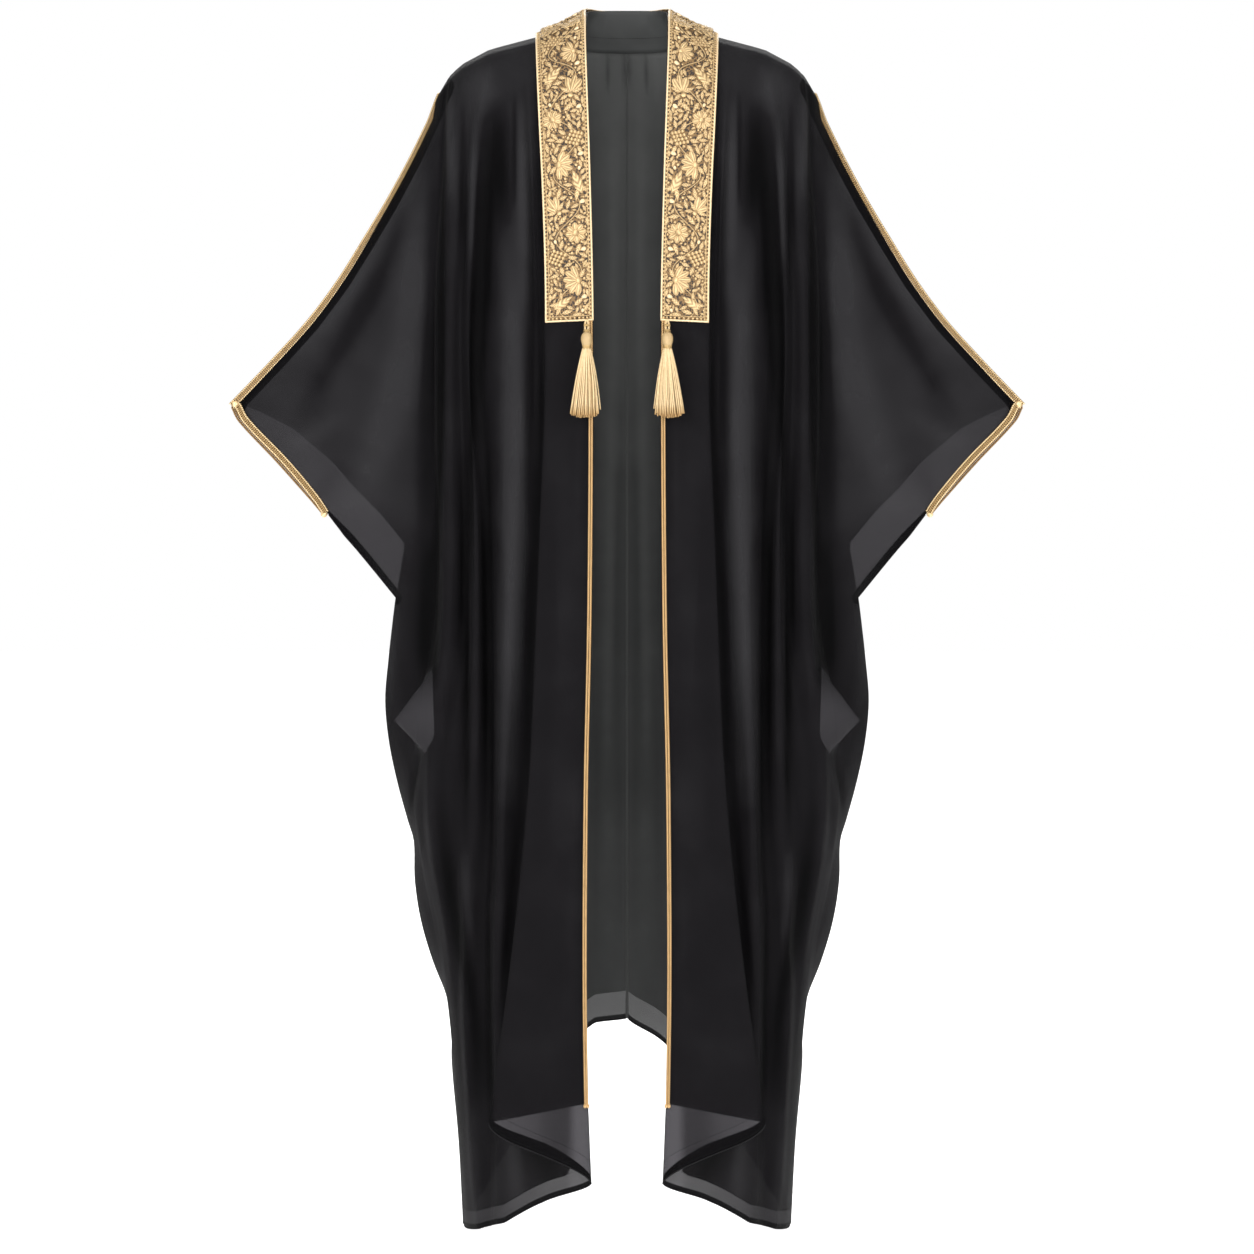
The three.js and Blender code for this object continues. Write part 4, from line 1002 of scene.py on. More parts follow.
sewn_on = bpy.data.node_groups.new("sewn_on_points", "GeometryNodeTree")
group_sockets(
    sewn_on,
    [
        ("Points", "Geometry", None),
        ("Shapes", "Collection", None),
        ("Size", "Float", None),
        ("Finish", "Material", None)
    ],
    [("Sewn", "Geometry")]
)
_in, _out, _shapes, _place, _turn, _size, _real, _finish = tree_nodes(
    sewn_on, "NodeGroupInput", "NodeGroupOutput", "GeometryNodeCollectionInfo",
    "GeometryNodeInstanceOnPoints", "FunctionNodeEulerToRotation", "ShaderNodeVectorMath",
    "GeometryNodeRealizeInstances", "GeometryNodeSetMaterial"
)
_shapes.inputs["Separate Children"].default_value = True
_shapes.inputs["Reset Children"].default_value = True
_place.inputs["Pick Instance"].default_value = True
_size.operation = "SCALE"
for a, b in (
    (_in.outputs["Shapes"], _shapes.inputs["Collection"]),
    (_in.outputs["Points"], _place.inputs["Points"]),
    (_shapes.outputs[0], _place.inputs["Instance"]),
    (named(sewn_on, "kind", "INT"), _place.inputs["Instance Index"]),
    (named(sewn_on, "turn", "FLOAT_VECTOR"), _turn.inputs[0]),
    (_turn.outputs[0], _place.inputs["Rotation"]),
    (named(sewn_on, "size", "FLOAT_VECTOR"), _size.inputs[0]),
    (_in.outputs["Size"], _size.inputs["Scale"]),
    (_size.outputs[0], _place.inputs["Scale"]),
    (_place.outputs[0], _real.inputs[0]),
    (_real.outputs[0], _finish.inputs["Geometry"]),
    (_in.outputs["Finish"], _finish.inputs["Material"]),
    (_finish.outputs[0], _out.inputs[0]),
):
    sewn_on.links.new(a, b)

# %% Tree: a cord along a path
cord_tree = bpy.data.node_groups.new("cord_along_path", "GeometryNodeTree")
group_sockets(
    cord_tree,
    [
        ("Path", "Geometry", None),
        ("Radius", "Float", None),
        ("Sides", "Int", None),
        ("Finish", "Material", None)
    ],
    [("Cord", "Geometry")]
)
_in, _out, _curve, _ring, _tube, _length, _around, _keep_a, _keep_b, _uv, _store, _real, _finish = tree_nodes(
    cord_tree, "NodeGroupInput", "NodeGroupOutput", "GeometryNodeMeshToCurve",
    "GeometryNodeCurvePrimitiveCircle", "GeometryNodeCurveToMesh", "GeometryNodeSplineParameter",
    "GeometryNodeSplineParameter", "GeometryNodeCaptureAttribute", "GeometryNodeCaptureAttribute",
    "ShaderNodeCombineXYZ", "GeometryNodeStoreNamedAttribute", "GeometryNodeRealizeInstances",
    "GeometryNodeSetMaterial"
)
for capture in (_keep_a, _keep_b):
    capture.capture_items.new("FLOAT", "length")
_store.data_type, _store.domain = "FLOAT2", "CORNER"
_store.inputs["Name"].default_value = "cloth"
_tube.inputs["Fill Caps"].default_value = True
for a, b in (
    (_in.outputs["Path"], _curve.inputs[0]),
    (_curve.outputs[0], _keep_a.inputs[0]),
    (_length.outputs["Length"], _keep_a.inputs[1]),
    (_in.outputs["Sides"], _ring.inputs["Resolution"]),
    (_in.outputs["Radius"], _ring.inputs["Radius"]),
    (_ring.outputs[0], _keep_b.inputs[0]),
    (_around.outputs["Length"], _keep_b.inputs[1]),
    (_keep_a.outputs[0], _tube.inputs["Curve"]),
    (_keep_b.outputs[0], _tube.inputs["Profile Curve"]),
    (_tube.outputs[0], _store.inputs["Geometry"]),
    (_keep_a.outputs[1], _uv.inputs[0]),
    (_keep_b.outputs[1], _uv.inputs[1]),
    (_uv.outputs[0], [s for s in _store.inputs if s.enabled and s.name == "Value"][0]),
    (_store.outputs[0], _real.inputs[0]),
    (_real.outputs[0], _finish.inputs["Geometry"]),
    (_in.outputs["Finish"], _finish.inputs["Material"]),
    (_finish.outputs[0], _out.inputs[0]),
):
    cord_tree.links.new(a, b)


# %% Running a tree and keeping its mesh
def grown(name, seed_object, tree, **inputs):
    """Gives an object the tree, keeps the mesh that comes out as a plain piece, and drops the rest."""
    modifier = seed_object.modifiers.new("tree", "NODES")
    modifier.node_group = tree
    sockets = {
        item.name: item.identifier
        for item in tree.interface.items_tree
        if item.item_type == "SOCKET" and item.in_out == "INPUT"
    }
    for key, value in inputs.items():
        modifier[sockets[key.replace("_", " ")]] = value
    depsgraph = bpy.context.evaluated_depsgraph_get()
    mesh = bpy.data.meshes.new_from_object(seed_object.evaluated_get(depsgraph), depsgraph=depsgraph)
    mesh.name = name
    piece = bpy.data.objects.new(name, mesh)
    bpy.context.scene.collection.objects.link(piece)
    old = seed_object.data
    bpy.data.objects.remove(seed_object)
    bpy.data.meshes.remove(old)
    mesh.polygons.foreach_set("use_smooth", np.ones(len(mesh.polygons), bool))
    print(f"{name}: {len(mesh.polygons)} faces")
    return piece


def path_object(paths, closed=False):
    """Edges along one path, or several, of points in millimetres."""
    points, edges = [], []
    for path in paths:
        start = len(points)
        points.extend(np.asarray(path) / 1000)
        edges.extend((start + k, start + k + 1) for k in range(len(path) - 1))
        if closed:
            edges.append((start + len(path) - 1, start))
    mesh = bpy.data.meshes.new("path")
    mesh.from_pydata([tuple(p) for p in points], edges, [])
    obj = bpy.data.objects.new("path", mesh)
    bpy.context.scene.collection.objects.link(obj)
    return obj


def cords(name, paths, radius, finish, sides=8, closed=False):
    return grown(
        name, path_object(paths, closed), cord_tree, Radius=radius / 1000, Sides=sides, Finish=finish
    )


def sewn(name, spots, shapes, finish):
    """spots: rows of (kind, point, direction, outward, size) in millimetres."""
    kinds = np.array([s[0] for s in spots], np.int32)
    points = np.array([s[1] for s in spots], float) / 1000
    ahead = np.array([s[2] for s in spots], float)
    out = np.array([s[3] for s in spots], float)
    out /= np.linalg.norm(out, axis=1, keepdims=True)
    ahead -= out * np.einsum("ij,ij->i", ahead, out)[:, None]
    ahead /= np.linalg.norm(ahead, axis=1, keepdims=True)
    beside = np.cross(out, ahead)
    turn = np.c_[
        np.arctan2(beside[:, 2], out[:, 2]), np.arcsin(np.clip(-ahead[:, 2], -1, 1)),
        np.arctan2(ahead[:, 1], ahead[:, 0])
    ]
    mesh = bpy.data.meshes.new("spots")
    mesh.from_pydata([tuple(p) for p in points], [], [])
    for key, kind, data in (
        ("kind", "INT", kinds),
        ("turn", "FLOAT_VECTOR", turn),
        ("size", "FLOAT_VECTOR", np.array([s[4] for s in spots]) / 1000)
    ):
        attribute = mesh.attributes.new(key, kind, "POINT")
        attribute.data.foreach_set(
            "value" if kind == "INT" else "vector",
            data.astype(np.int32 if kind == "INT" else np.float32).ravel()
        )
    obj = bpy.data.objects.new("spots", mesh)
    bpy.context.scene.collection.objects.link(obj)
    return grown(name, obj, sewn_on, Shapes=shapes, Size=1.0, Finish=finish)


# %% [markdown]
# ## Small shapes
# A petal, a veined leaf, a bead and a bar of thread are enough for the whole embroidery and
# every plait. Each is modelled one unit long, low and closed, with few faces, because it is
# repeated many hundred times. Its UV map runs along the thread, for the stitches' bump.

# %% Petal, leaf, bead and bar
small_shapes = bpy.data.collections.new("small_shapes")


def domed_shape(name, outline, section, across=4, ribs=(2.0, 0.0, 0.0)):
    """A low closed dome: half widths along its length, and a height across its width.

    ribs counts them along the shape, in a chevron from its middle line, and across it.
    """
    stations = len(outline)
    points, uvs = [], []
    for k, (along, half, high) in enumerate(outline):
        for i in range(across + 1):
            share = i / across * 2 - 1
            points.append((along, half * share, high * section(abs(share))))
            uvs.append((along * ribs[0] - abs(share) * ribs[1] + share * ribs[2], share))
    base = len(points)
    for k, (along, half, high) in enumerate(outline):
        points.extend([(along, -half, -0.15), (along, half, -0.15)])
        uvs.extend([(along * ribs[0] - ribs[1] - ribs[2], -1), (along * ribs[0] - ribs[1] + ribs[2], 1)])
    faces = []
    for k in range(stations - 1):
        a, b = k * (across + 1), (k + 1) * (across + 1)
        faces.extend((a + i, b + i, b + i + 1, a + i + 1) for i in range(across))
        p, q = base + 2 * k, base + 2 * k + 2
        faces.append((p, p + 1, q + 1, q))
        faces.append((a, p, q, b))
        faces.append((a + across, b + across, q + 1, p + 1))
    last = (stations - 1) * (across + 1)
    faces.append(tuple(range(0, across + 1)) + (base + 1, base))
    faces.append(
        tuple(range(last + across, last - 1, -1)) + (base + 2 * stations - 2, base + 2 * stations - 1)
    )
    mesh = bpy.data.meshes.new(name)
    mesh.from_pydata(points, [], faces)
    layer = mesh.uv_layers.new(name="cloth")
    for loop in mesh.loops:
        layer.data[loop.index].uv = (uvs[loop.vertex_index][0] / 1000, uvs[loop.vertex_index][1] / 1000)
    obj = bpy.data.objects.new(name, mesh)
    small_shapes.objects.link(obj)
    return obj


PETAL, LEAF, BEAD, BAR, SPINDLE = 0, 1, 2, 3, 4
domed_shape(
    "0_petal", [(0, 0.16, 0.4), (0.25, 0.36, 0.8), (0.6, 0.5, 1), (0.88, 0.34, 0.8), (1, 0.08, 0.3)],
    lambda s: 1 - 0.75 * s * s, ribs=(0.3, 0, 1.2)
)
domed_shape(
    "1_leaf", [(0, 0.06, 0.4), (0.2, 0.36, 0.8), (0.45, 0.5, 1), (0.75, 0.28, 0.8), (1, 0.02, 0.3)],
    lambda s: 0.62 + 0.38 * math.sin(math.pi * min(1, s * 1.15)) - 0.5 * s**4, ribs=(4.2, 1.0, 0)
)
domed_shape(
    "2_bead", [(-0.5, 0.1, 0.2), (-0.34, 0.38, 0.75), (0, 0.5, 1), (0.34, 0.38, 0.75), (0.5, 0.1, 0.2)],
    lambda s: math.sqrt(max(0, 1 - 0.85 * s * s)), ribs=(1.0, 0, 0)
)
domed_shape(
    "3_bar", [(-0.5, 0.3, 0.6), (-0.4, 0.48, 0.95), (0, 0.5, 1), (0.4, 0.48, 0.95), (0.5, 0.3, 0.6)],
    lambda s: 1 - 0.7 * s * s, ribs=(1.0, 0, 0)
)


def spindle_shape(name, sides=5):
    """A lay of cord: a rounded rod, one unit long and one thick, the same from every side."""
    stations = [(-0.5, 0.14), (-0.22, 0.48), (0.22, 0.48), (0.5, 0.14)]
    points = [
        (x, r * math.cos(2 * math.pi * s / sides), r * math.sin(2 * math.pi * s / sides))
        for x, r in stations
        for s in range(sides)
    ]
    faces = [
        (
            k * sides + s, k * sides + (s + 1) % sides, (k + 1) * sides + (s + 1) % sides,
            (k + 1) * sides + s
        )
        for k in range(len(stations) - 1)
        for s in range(sides)
    ]
    faces.append(tuple(range(sides))[::-1])
    faces.append(tuple(range((len(stations) - 1) * sides, len(stations) * sides)))
    mesh = bpy.data.meshes.new(name)
    mesh.from_pydata(points, [], [tuple(reversed(f)) for f in faces])
    layer = mesh.uv_layers.new(name="cloth")
    for loop in mesh.loops:
        x, y = points[loop.vertex_index][:2]
        layer.data[loop.index].uv = (y * 0.002, x * 0.004)
    small_shapes.objects.link(bpy.data.objects.new(name, mesh))


spindle_shape("4_spindle")
for shape in small_shapes.objects:
    volume = 0.0
    for face in shape.data.polygons:
        corners = [shape.data.vertices[v].co for v in face.vertices]
        volume += sum(corners[0].dot(corners[k].cross(corners[k + 1])) for k in range(1, len(corners) - 1))
    if volume < 0:
        shape.data.flip_normals()
    print(shape.name, len(shape.data.polygons), "faces, volume", round(volume / 6, 3))

# %% [markdown]
# ## The stand and the collar band
# The stand is a curved strip inside the back of the neck. The band lies on each front's
# edge and then round the outside of the stand, so its ground is read from both surfaces.

# %% Stand of the neck
STAND_HALF, STAND_DEEP, STAND_SKIN = 48.0, 66.0, 0.55


def stand_line(a):
    """Low and high point of the stand at an angle round the neck: 0 at the side, 90 at the back."""
    c, s = max(0.0, math.cos(a)), math.sin(a)
    low = np.array([(NECK_HALF - 1.8) * c, 0.4 + (NECK_DEEP - 0.9) * s, 9 * c * c + 1.7 * min(1, 3 * s) - 17])
    high = np.array([STAND_HALF * math.sqrt(c), 0.4 + (STAND_DEEP - 0.4) * s**0.8, 20.3 + 8.3 * s])
    return low, high


STAND_PARTS = 36
back_neck = back_grid[0, back_grid[0, :, 0] < NECK_HALF + 0.01]
neck_turn = np.arctan2(back_neck[::-1, 1], back_neck[::-1, 0])
neck_reach = np.hypot(back_neck[::-1, 0], back_neck[::-1, 1])
angles = np.linspace(0, math.pi / 2, STAND_PARTS + 1)
half = []
for a in angles:
    low, high = stand_line(a)
    reach = np.interp(math.atan2(low[1], low[0]), neck_turn, neck_reach) - 1.3
    inward = min(1.0, reach / math.hypot(low[0], low[1]))
    top = np.interp(math.atan2(low[1], low[0]), neck_turn, back_neck[::-1, 2])
    turned_in = [low[0] * inward, low[1] * inward]
    half.append(
        [[*turned_in, top - 4.5], [*turned_in, top + 0.6]]
        + [low + (high - low) * r / 8 for r in range(9)]
    )
half = np.array(half)
half = np.concatenate([half[:1] + [0, -5.0, -1.6], half])
front_top = front_grid[0, : band_cols + 1]
to_front = np.interp(half[1, 2:, 0], front_top[:, 0], front_top[:, 2]) - 0.9 - half[1, 2:, 2]
for k, share in enumerate((1.0, 1.0, 0.8, 0.6, 0.4, 0.2)):
    half[k, 2:, 2] += to_front * share
stand_grid = np.concatenate([half, mirror(half[:-1], -1)[::-1]])
stand_normals = surface_normals(stand_grid, -1)
wave_along = np.sin(np.arange(len(stand_grid)) * 0.9)
wave_down = np.sin(np.linspace(0, np.pi, 11))
stand_wave = 0.5 * wave_along[:, None] * wave_down[None, :]
stand_grid = stand_grid + stand_normals * stand_wave[:, :, None]
outer, inner = stand_grid + stand_normals * STAND_SKIN, stand_grid - stand_normals * STAND_SKIN
points = np.vstack([outer.reshape(-1, 3), inner.reshape(-1, 3)])
uv = np.tile(cloth_uv(stand_grid).reshape(-1, 2), (2, 1))
neck_stand = new_piece(
    "neck_stand_cloth", points, facing_out(points, wall_faces(*stand_grid.shape[:2])), uv=uv
)
neck_stand.data.materials.append(georgette_stand)
print("stand:", len(neck_stand.data.polygons), "faces")

# %% The surface that the band lies on
BAND_CLEAR = 1.3
band_rows = int(np.where(np.isclose(front_levels, BAND_LEVEL))[0][0])
front_part = front_flat[: band_rows + 1, : band_cols + 1].copy()
front_part[0, :, 1] = 0.3
across_share = np.linspace(0, 1, band_cols + 1)[:, None]
neck_part = []
for a in np.linspace(math.pi / 2, 0, 45)[:-1]:
    low, high = stand_line(a)
    neck_part.append(high + (low - high) * across_share)
band_base = np.concatenate([np.array(neck_part), front_part])
band_normals = surface_normals(band_base, -1)
band_normals[0] = band_normals[0] * [0, 1, 1]
band_normals /= np.linalg.norm(band_normals, axis=2, keepdims=True)
band_lift = BAND_CLEAR + 1.5 * np.clip((band_base[:, :, 1] + 20) / 25, 0, 1)
band_base = band_base + band_normals * band_lift[:, :, None]
middle = band_base[:, band_cols // 2]
band_along = np.r_[0, np.cumsum(np.linalg.norm(np.diff(middle[::-1], axis=0), axis=1))][::-1]
BAND_LONG = float(band_along[0])
BAND_WIDE = 56.0
GROUND_THICK = 1.2


def on_band(along, across, height=0.0):
    """Point and outward direction at a place on the band.

    along runs from its lower end and across from the opening.
    """
    row = np.interp(-np.asarray(along, float), -band_along, np.arange(len(band_along)))
    col = np.clip(np.asarray(across, float) / BAND_WIDE, 0, 1) * band_cols
    j, i = np.minimum(row.astype(int), len(band_along) - 2), np.minimum(col.astype(int), band_cols - 1)
    a, b = (row - j)[..., None], (col - i)[..., None]

    def read(grid):
        near = grid[j, i] * (1 - a) + grid[j + 1, i] * a
        far = grid[j, i + 1] * (1 - a) + grid[j + 1, i + 1] * a
        return near * (1 - b) + far * b

    normal = read(band_normals)
    normal /= np.linalg.norm(normal, axis=-1, keepdims=True)
    return read(band_base) + normal * np.asarray(height, float)[..., None], normal


print("band:", round(BAND_LONG), "mm from its end to the back of the neck")

# %% [markdown]
# ## Embroidery
# The band is covered by leaves and blossoms in gold thread, with small dark gaps between.
# A maker draws the large blossoms and the winding stem first and then fills what is left
# with leaves and knots. The script does the same: blossoms come from a short table, and a
# seeded search sets leaves of falling size wherever the ground is still bare.

# %% Blossoms from a table
BLOSSOM_PITCH, STEM_PITCH = 27.0, 76.0
FIELD = (6.5, BAND_WIDE - 6.5)
FAN = [(PETAL, a, 1.5, 13.0, 6.4, 1.7) for a in (-75, -45, -15, 15, 45, 75)] + [
    (BEAD, 0, 0, 6.0, 6.0, 2.2), (LEAF, 128, 2, 10, 4.4, 1.3), (LEAF, -128, 2, 10, 4.4, 1.3)
]
TULIP = [
    (PETAL, -27, 1, 15, 7.6, 1.5),
    (PETAL, 27, 1, 15, 7.6, 1.5),
    (PETAL, 0, 1, 17, 6.6, 2.0),
    (LEAF, 68, 1, 11, 4.6, 1.3),
    (LEAF, -68, 1, 11, 4.6, 1.3),
    (BEAD, 180, 2, 5.4, 5.4, 1.9),
    (LEAF, 128, 3, 9, 4.0, 1.2),
    (LEAF, -128, 3, 9, 4.0, 1.2)
]
ROSETTE = [(PETAL, a, 2.0, 8.6, 6.2, 1.6) for a in range(0, 360, 45)] + [(BEAD, 0, 0, 6.4, 6.4, 2.4)] + [
    (BEAD, a + 22.5, 10.6, 2.8, 2.8, 1.3) for a in range(0, 360, 45)
]
QUILTED = [("grid", 0, 0, 3.3, 3.3, 1.8)] + [
    (LEAF, a, 9.5, 9.0, 4.8, 1.4) for a in (-72, -36, 0, 36, 72, 112, -112, 180)
]
BIG_LEAF = [
    (LEAF, 0, -9, 24, 10.5, 2.0),
    (LEAF, 150, 3, 12, 5.0, 1.3),
    (LEAF, -150, 3, 12, 5.0, 1.3),
    (LEAF, 60, 5, 9, 4.0, 1.2),
    (LEAF, -60, 5, 9, 4.0, 1.2)
]
BLOSSOMS = [BIG_LEAF, FAN, QUILTED, ROSETTE, TULIP]


def petals_of(blossom, along, across, heading, grow):
    """The blossom's shapes as (kind, along, across, heading, length, width, height)."""
    made = []
    for kind, angle, away, long, wide, high in blossom:
        if kind == "grid":
            for p in (-1.5, -0.5, 0.5, 1.5):
                for q in (-1.5, -0.5, 0.5, 1.5):
                    a = math.radians(heading + 45)
                    u = (p * math.cos(a) - q * math.sin(a)) * 3.6 * grow
                    v = (p * math.sin(a) + q * math.cos(a)) * 3.6 * grow
                    size = (long * grow * 1.15, wide * grow * 1.15, high)
                    made.append((BEAD, along + u, across + v, heading + 45, *size))
            continue
        a = math.radians(heading + angle)
        u, v = along + away * grow * math.cos(a), across + away * grow * math.sin(a)
        made.append((kind, u, v, heading + angle, long * grow, wide * grow, high))
    return made


def stem_at(along):
    return BAND_WIDE / 2 + 12.5 * np.sin(2 * np.pi * np.asarray(along, float) / STEM_PITCH)


shapes_on_band, bright_on_band = [], []
for k in range(int(BAND_LONG / BLOSSOM_PITCH) + 1):
    along = 20 + BLOSSOM_PITCH * k
    if along > BAND_LONG + 8:
        break
    side = 1 if k % 2 else -1
    across = BAND_WIDE / 2 - side * (7.5 + 2 * (k % 3))
    heading = (38, 100, 0, 60, -25)[k % 5] * side + 9 * ((k * 7) % 5 - 2)
    shapes_on_band.extend(petals_of(BLOSSOMS[k % 5], along, across, heading, 1.1 + 0.05 * ((k * 3) % 4 - 1)))
    if k % 2 == 0:
        bright_on_band.append((PETAL, along + 7, BAND_WIDE / 2 + side * 12, 75 * side, 6.5, 5.0, 1.9))
    if k % 3 == 0:
        bright_on_band.append((BEAD, along - 8, BAND_WIDE / 2 + side * 13, 20 * side, 4.6, 3.6, 1.8))


def kept_inside(shape):
    """A shape whose point would cross the ladder row is drawn back."""
    kind, along, across, heading, long, wide, high = shape
    a = math.radians(heading)
    for _ in range(12):
        reach = 0 if kind == BEAD else long
        u, v = along + reach * math.cos(a), across + reach * math.sin(a)
        if u > 7 and FIELD[0] - 0.5 < v < FIELD[1] + 0.5:
            break
        long *= 0.92
    return (kind, along, across, heading, long, wide, high)


shapes_on_band = [kept_inside(shape) for shape in shapes_on_band]
bright_on_band = [kept_inside(shape) for shape in bright_on_band if shape[1] < BAND_LONG]
print(len(shapes_on_band), "petals and leaves in the blossoms")

# %% Filling the ground between blossoms
CELL = 0.5
bare = np.ones((int((BAND_LONG + 20) / CELL), int(BAND_WIDE / CELL)), bool)
bare_along, bare_across = np.meshgrid(
    (np.arange(bare.shape[0]) + 0.5) * CELL, (np.arange(bare.shape[1]) + 0.5) * CELL, indexing="ij"
)


def cells_of(kind, along, across, heading, long, wide, grow=1.0):
    """The bare-ground cells under a shape, widened by grow."""
    a = math.radians(heading)
    centred = kind in (BEAD, BAR)
    mid = 0 if centred else long / 2
    u0, v0 = along + mid * math.cos(a), across + mid * math.sin(a)
    reach = int(long / 2 * grow / CELL) + 2
    j, i = int(u0 / CELL), int(v0 / CELL)
    js, je = max(0, j - reach), min(bare.shape[0], j + reach + 1)
    iz, ie = max(0, i - reach), min(bare.shape[1], i + reach + 1)
    if js >= je or iz >= ie:
        return None
    du, dv = bare_along[js:je, iz:ie] - u0, bare_across[js:je, iz:ie] - v0
    p, q = du * math.cos(a) + dv * math.sin(a), -du * math.sin(a) + dv * math.cos(a)
    return slice(js, je), slice(iz, ie), (p / (long / 2 * grow)) ** 2 + (q / (wide / 2 * grow)) ** 2 < 1


def cover(shape, grow=1.0):
    cells = cells_of(*shape[:6], grow=grow)
    if cells:
        bare[cells[0], cells[1]] &= ~cells[2]


for shape in shapes_on_band + bright_on_band:
    cover(shape, grow=1.22)
stem_along = np.arange(2, BAND_LONG, 2.0)
for u in stem_along:
    cover((BEAD, u, float(stem_at(u)), 0, 2.6, 2.6, 1))
rng = np.random.default_rng(41)
FILLERS = [
    (LEAF, 12.0, 5.2, 1.3, 1100),
    (LEAF, 9.0, 4.2, 1.2, 2200),
    (PETAL, 7.0, 3.6, 1.2, 3000),
    (LEAF, 5.8, 3.0, 1.1, 3600),
    (BEAD, 3.4, 3.2, 1.3, 4000),
    (BEAD, 2.3, 2.3, 1.0, 4500)
]
before = len(shapes_on_band)
for kind, long, wide, high, tries in FILLERS:
    for u, v, spin, grow in rng.random((tries, 4)):
        along, across = u * BAND_LONG, FIELD[0] + v * (FIELD[1] - FIELD[0])
        size = 0.85 + 0.3 * grow
        lean = 55 * math.cos(2 * math.pi * along / STEM_PITCH)
        heading = lean + 360 * round(spin * 6) / 6 + 25 * (grow - 0.5)
        shape = (kind, along, across, heading, long * size, wide * size, high)
        cells = cells_of(*shape[:6], grow=1.0)
        if cells is None:
            continue
        here = bare[cells[0], cells[1]]
        inside = cells[2]
        ends = across + (long * size if kind != BEAD else 0) * math.sin(math.radians(heading))
        if not (FIELD[0] - 0.5 < ends < FIELD[1] + 0.5) or inside.sum() < 4:
            continue
        if (inside & here).sum() < 0.88 * inside.sum():
            continue
        reach = along + (long * size if kind != BEAD else 0) * math.cos(math.radians(heading))
        if min(along, reach) < 7.0:
            continue
        shapes_on_band.append(shape)
        cover(shape)
field = bare[: int(BAND_LONG / CELL), int(FIELD[0] / CELL) : int(FIELD[1] / CELL)]
print(len(shapes_on_band) - before, "fillers; bare ground left:", round(float(field.mean()), 2))

# %% Ladder rows along both edges
LADDER_PITCH = 4.4
for along in np.arange(3.0, BAND_LONG, LADDER_PITCH):
    for across in (3.6, BAND_WIDE - 3.6):
        shapes_on_band.append((BAR, along, across, 90, 3.4, 2.5, 1.0))
for across in np.arange(5.5, BAND_WIDE - 4, LADDER_PITCH):
    shapes_on_band.append((BAR, 3.4, across, 0, 3.0, 2.4, 1.0))
for across in np.arange(6.4, BAND_WIDE - 5, 4.0):
    shapes_on_band.append((BEAD, BAND_LONG - 0.4, across, 0, 4.6, 4.2, 1.5))


def band_spots(shapes, sign):
    """Each shape's place, direction, outward direction and size on one side's band."""
    kinds, along, across, heading, long, wide, high = (np.array(c) for c in zip(*shapes))
    point, normal = on_band(along, across, GROUND_THICK - 0.1)
    ahead = on_band(along + 1, across)[0] - on_band(along - 1, across)[0]
    beside = on_band(along, across + 1)[0] - on_band(along, across - 1)[0]
    crowd = np.clip((np.linalg.norm(ahead, axis=1) / 2 + np.linalg.norm(beside, axis=1) / 2) / 2, 0.6, 1.05)
    ahead /= np.linalg.norm(ahead, axis=1, keepdims=True)
    beside /= np.linalg.norm(beside, axis=1, keepdims=True)
    turn = np.radians(heading)[:, None]
    direction = ahead * np.cos(turn) + beside * np.sin(turn)
    spots = []
    for k in range(len(kinds)):
        size = (long[k] * crowd[k], wide[k] * crowd[k], high[k])
        placed = [mirror(line[k], sign) for line in (point, direction, normal)]
        spots.append((int(kinds[k]), *placed, size))
    return spots


# %% Band ground, embroidery and cords for both sides
def wall_on_band(name, sign):
    outer = band_base + band_normals * GROUND_THICK
    inner = band_base.copy()
    outer[0, :, 0] = inner[0, :, 0] = -0.05
    points = mirror(np.vstack([outer.reshape(-1, 3), inner.reshape(-1, 3)]), sign)
    uv = np.tile(cloth_uv(band_base).reshape(-1, 2), (2, 1))
    piece = new_piece(name, points, facing_out(points, wall_faces(*band_base.shape[:2])), uv=uv)
    piece.data.materials.append(ground_material)
    return piece


def band_path(across, height, start=0.6, end=None, step=3.0):
    along = np.arange(start, (end or BAND_LONG - 0.2), step)
    return on_band(along, np.full_like(along, across) if np.isscalar(across) else across(along), height)[0]


band_pieces = {}
for side, sign in (("left", 1), ("right", -1)):
    ground = wall_on_band("band_ground_" + side, sign)
    work = sewn("band_embroidery_" + side, band_spots(shapes_on_band, sign), small_shapes, embroidery_gold)
    bright = sewn("band_bright_knots_" + side, band_spots(bright_on_band, sign), small_shapes, bright_gold)
    end_row = on_band(np.full(28, 0.9), np.linspace(0.9, BAND_WIDE - 0.9, 28), GROUND_THICK + 0.5)[0]
    edges = [band_path(across, GROUND_THICK + 0.5) for across in (0.9, BAND_WIDE - 0.9)]
    rim = np.vstack([edges[0][::-1], end_row, edges[1]])
    thin = [
        band_path(6.0, GROUND_THICK + 0.2, 6), band_path(BAND_WIDE - 6.0, GROUND_THICK + 0.2, 6),
        on_band(np.full(22, 6.0), np.linspace(6, BAND_WIDE - 6, 22), GROUND_THICK + 0.2)[0],
        band_path(stem_at, GROUND_THICK + 0.3)
    ]
    edge = cords("band_edge_cord_" + side, [mirror(rim, sign)], 1.15, bright_gold)
    fine = cords("band_fine_cord_" + side, [mirror(p, sign) for p in thin], 0.62, embroidery_gold, sides=6)
    band_pieces[side] = (ground, work, edge, fine, bright)

# %% [markdown]
# ## Cords and braids
# The front edges carry two cords laid side by side. The sleeve seam and the hand openings
# carry a flat braid: a cord on each edge and a herringbone between them. Each is drawn as
# solid cords along the path, and then the lays of thread are set down over them.

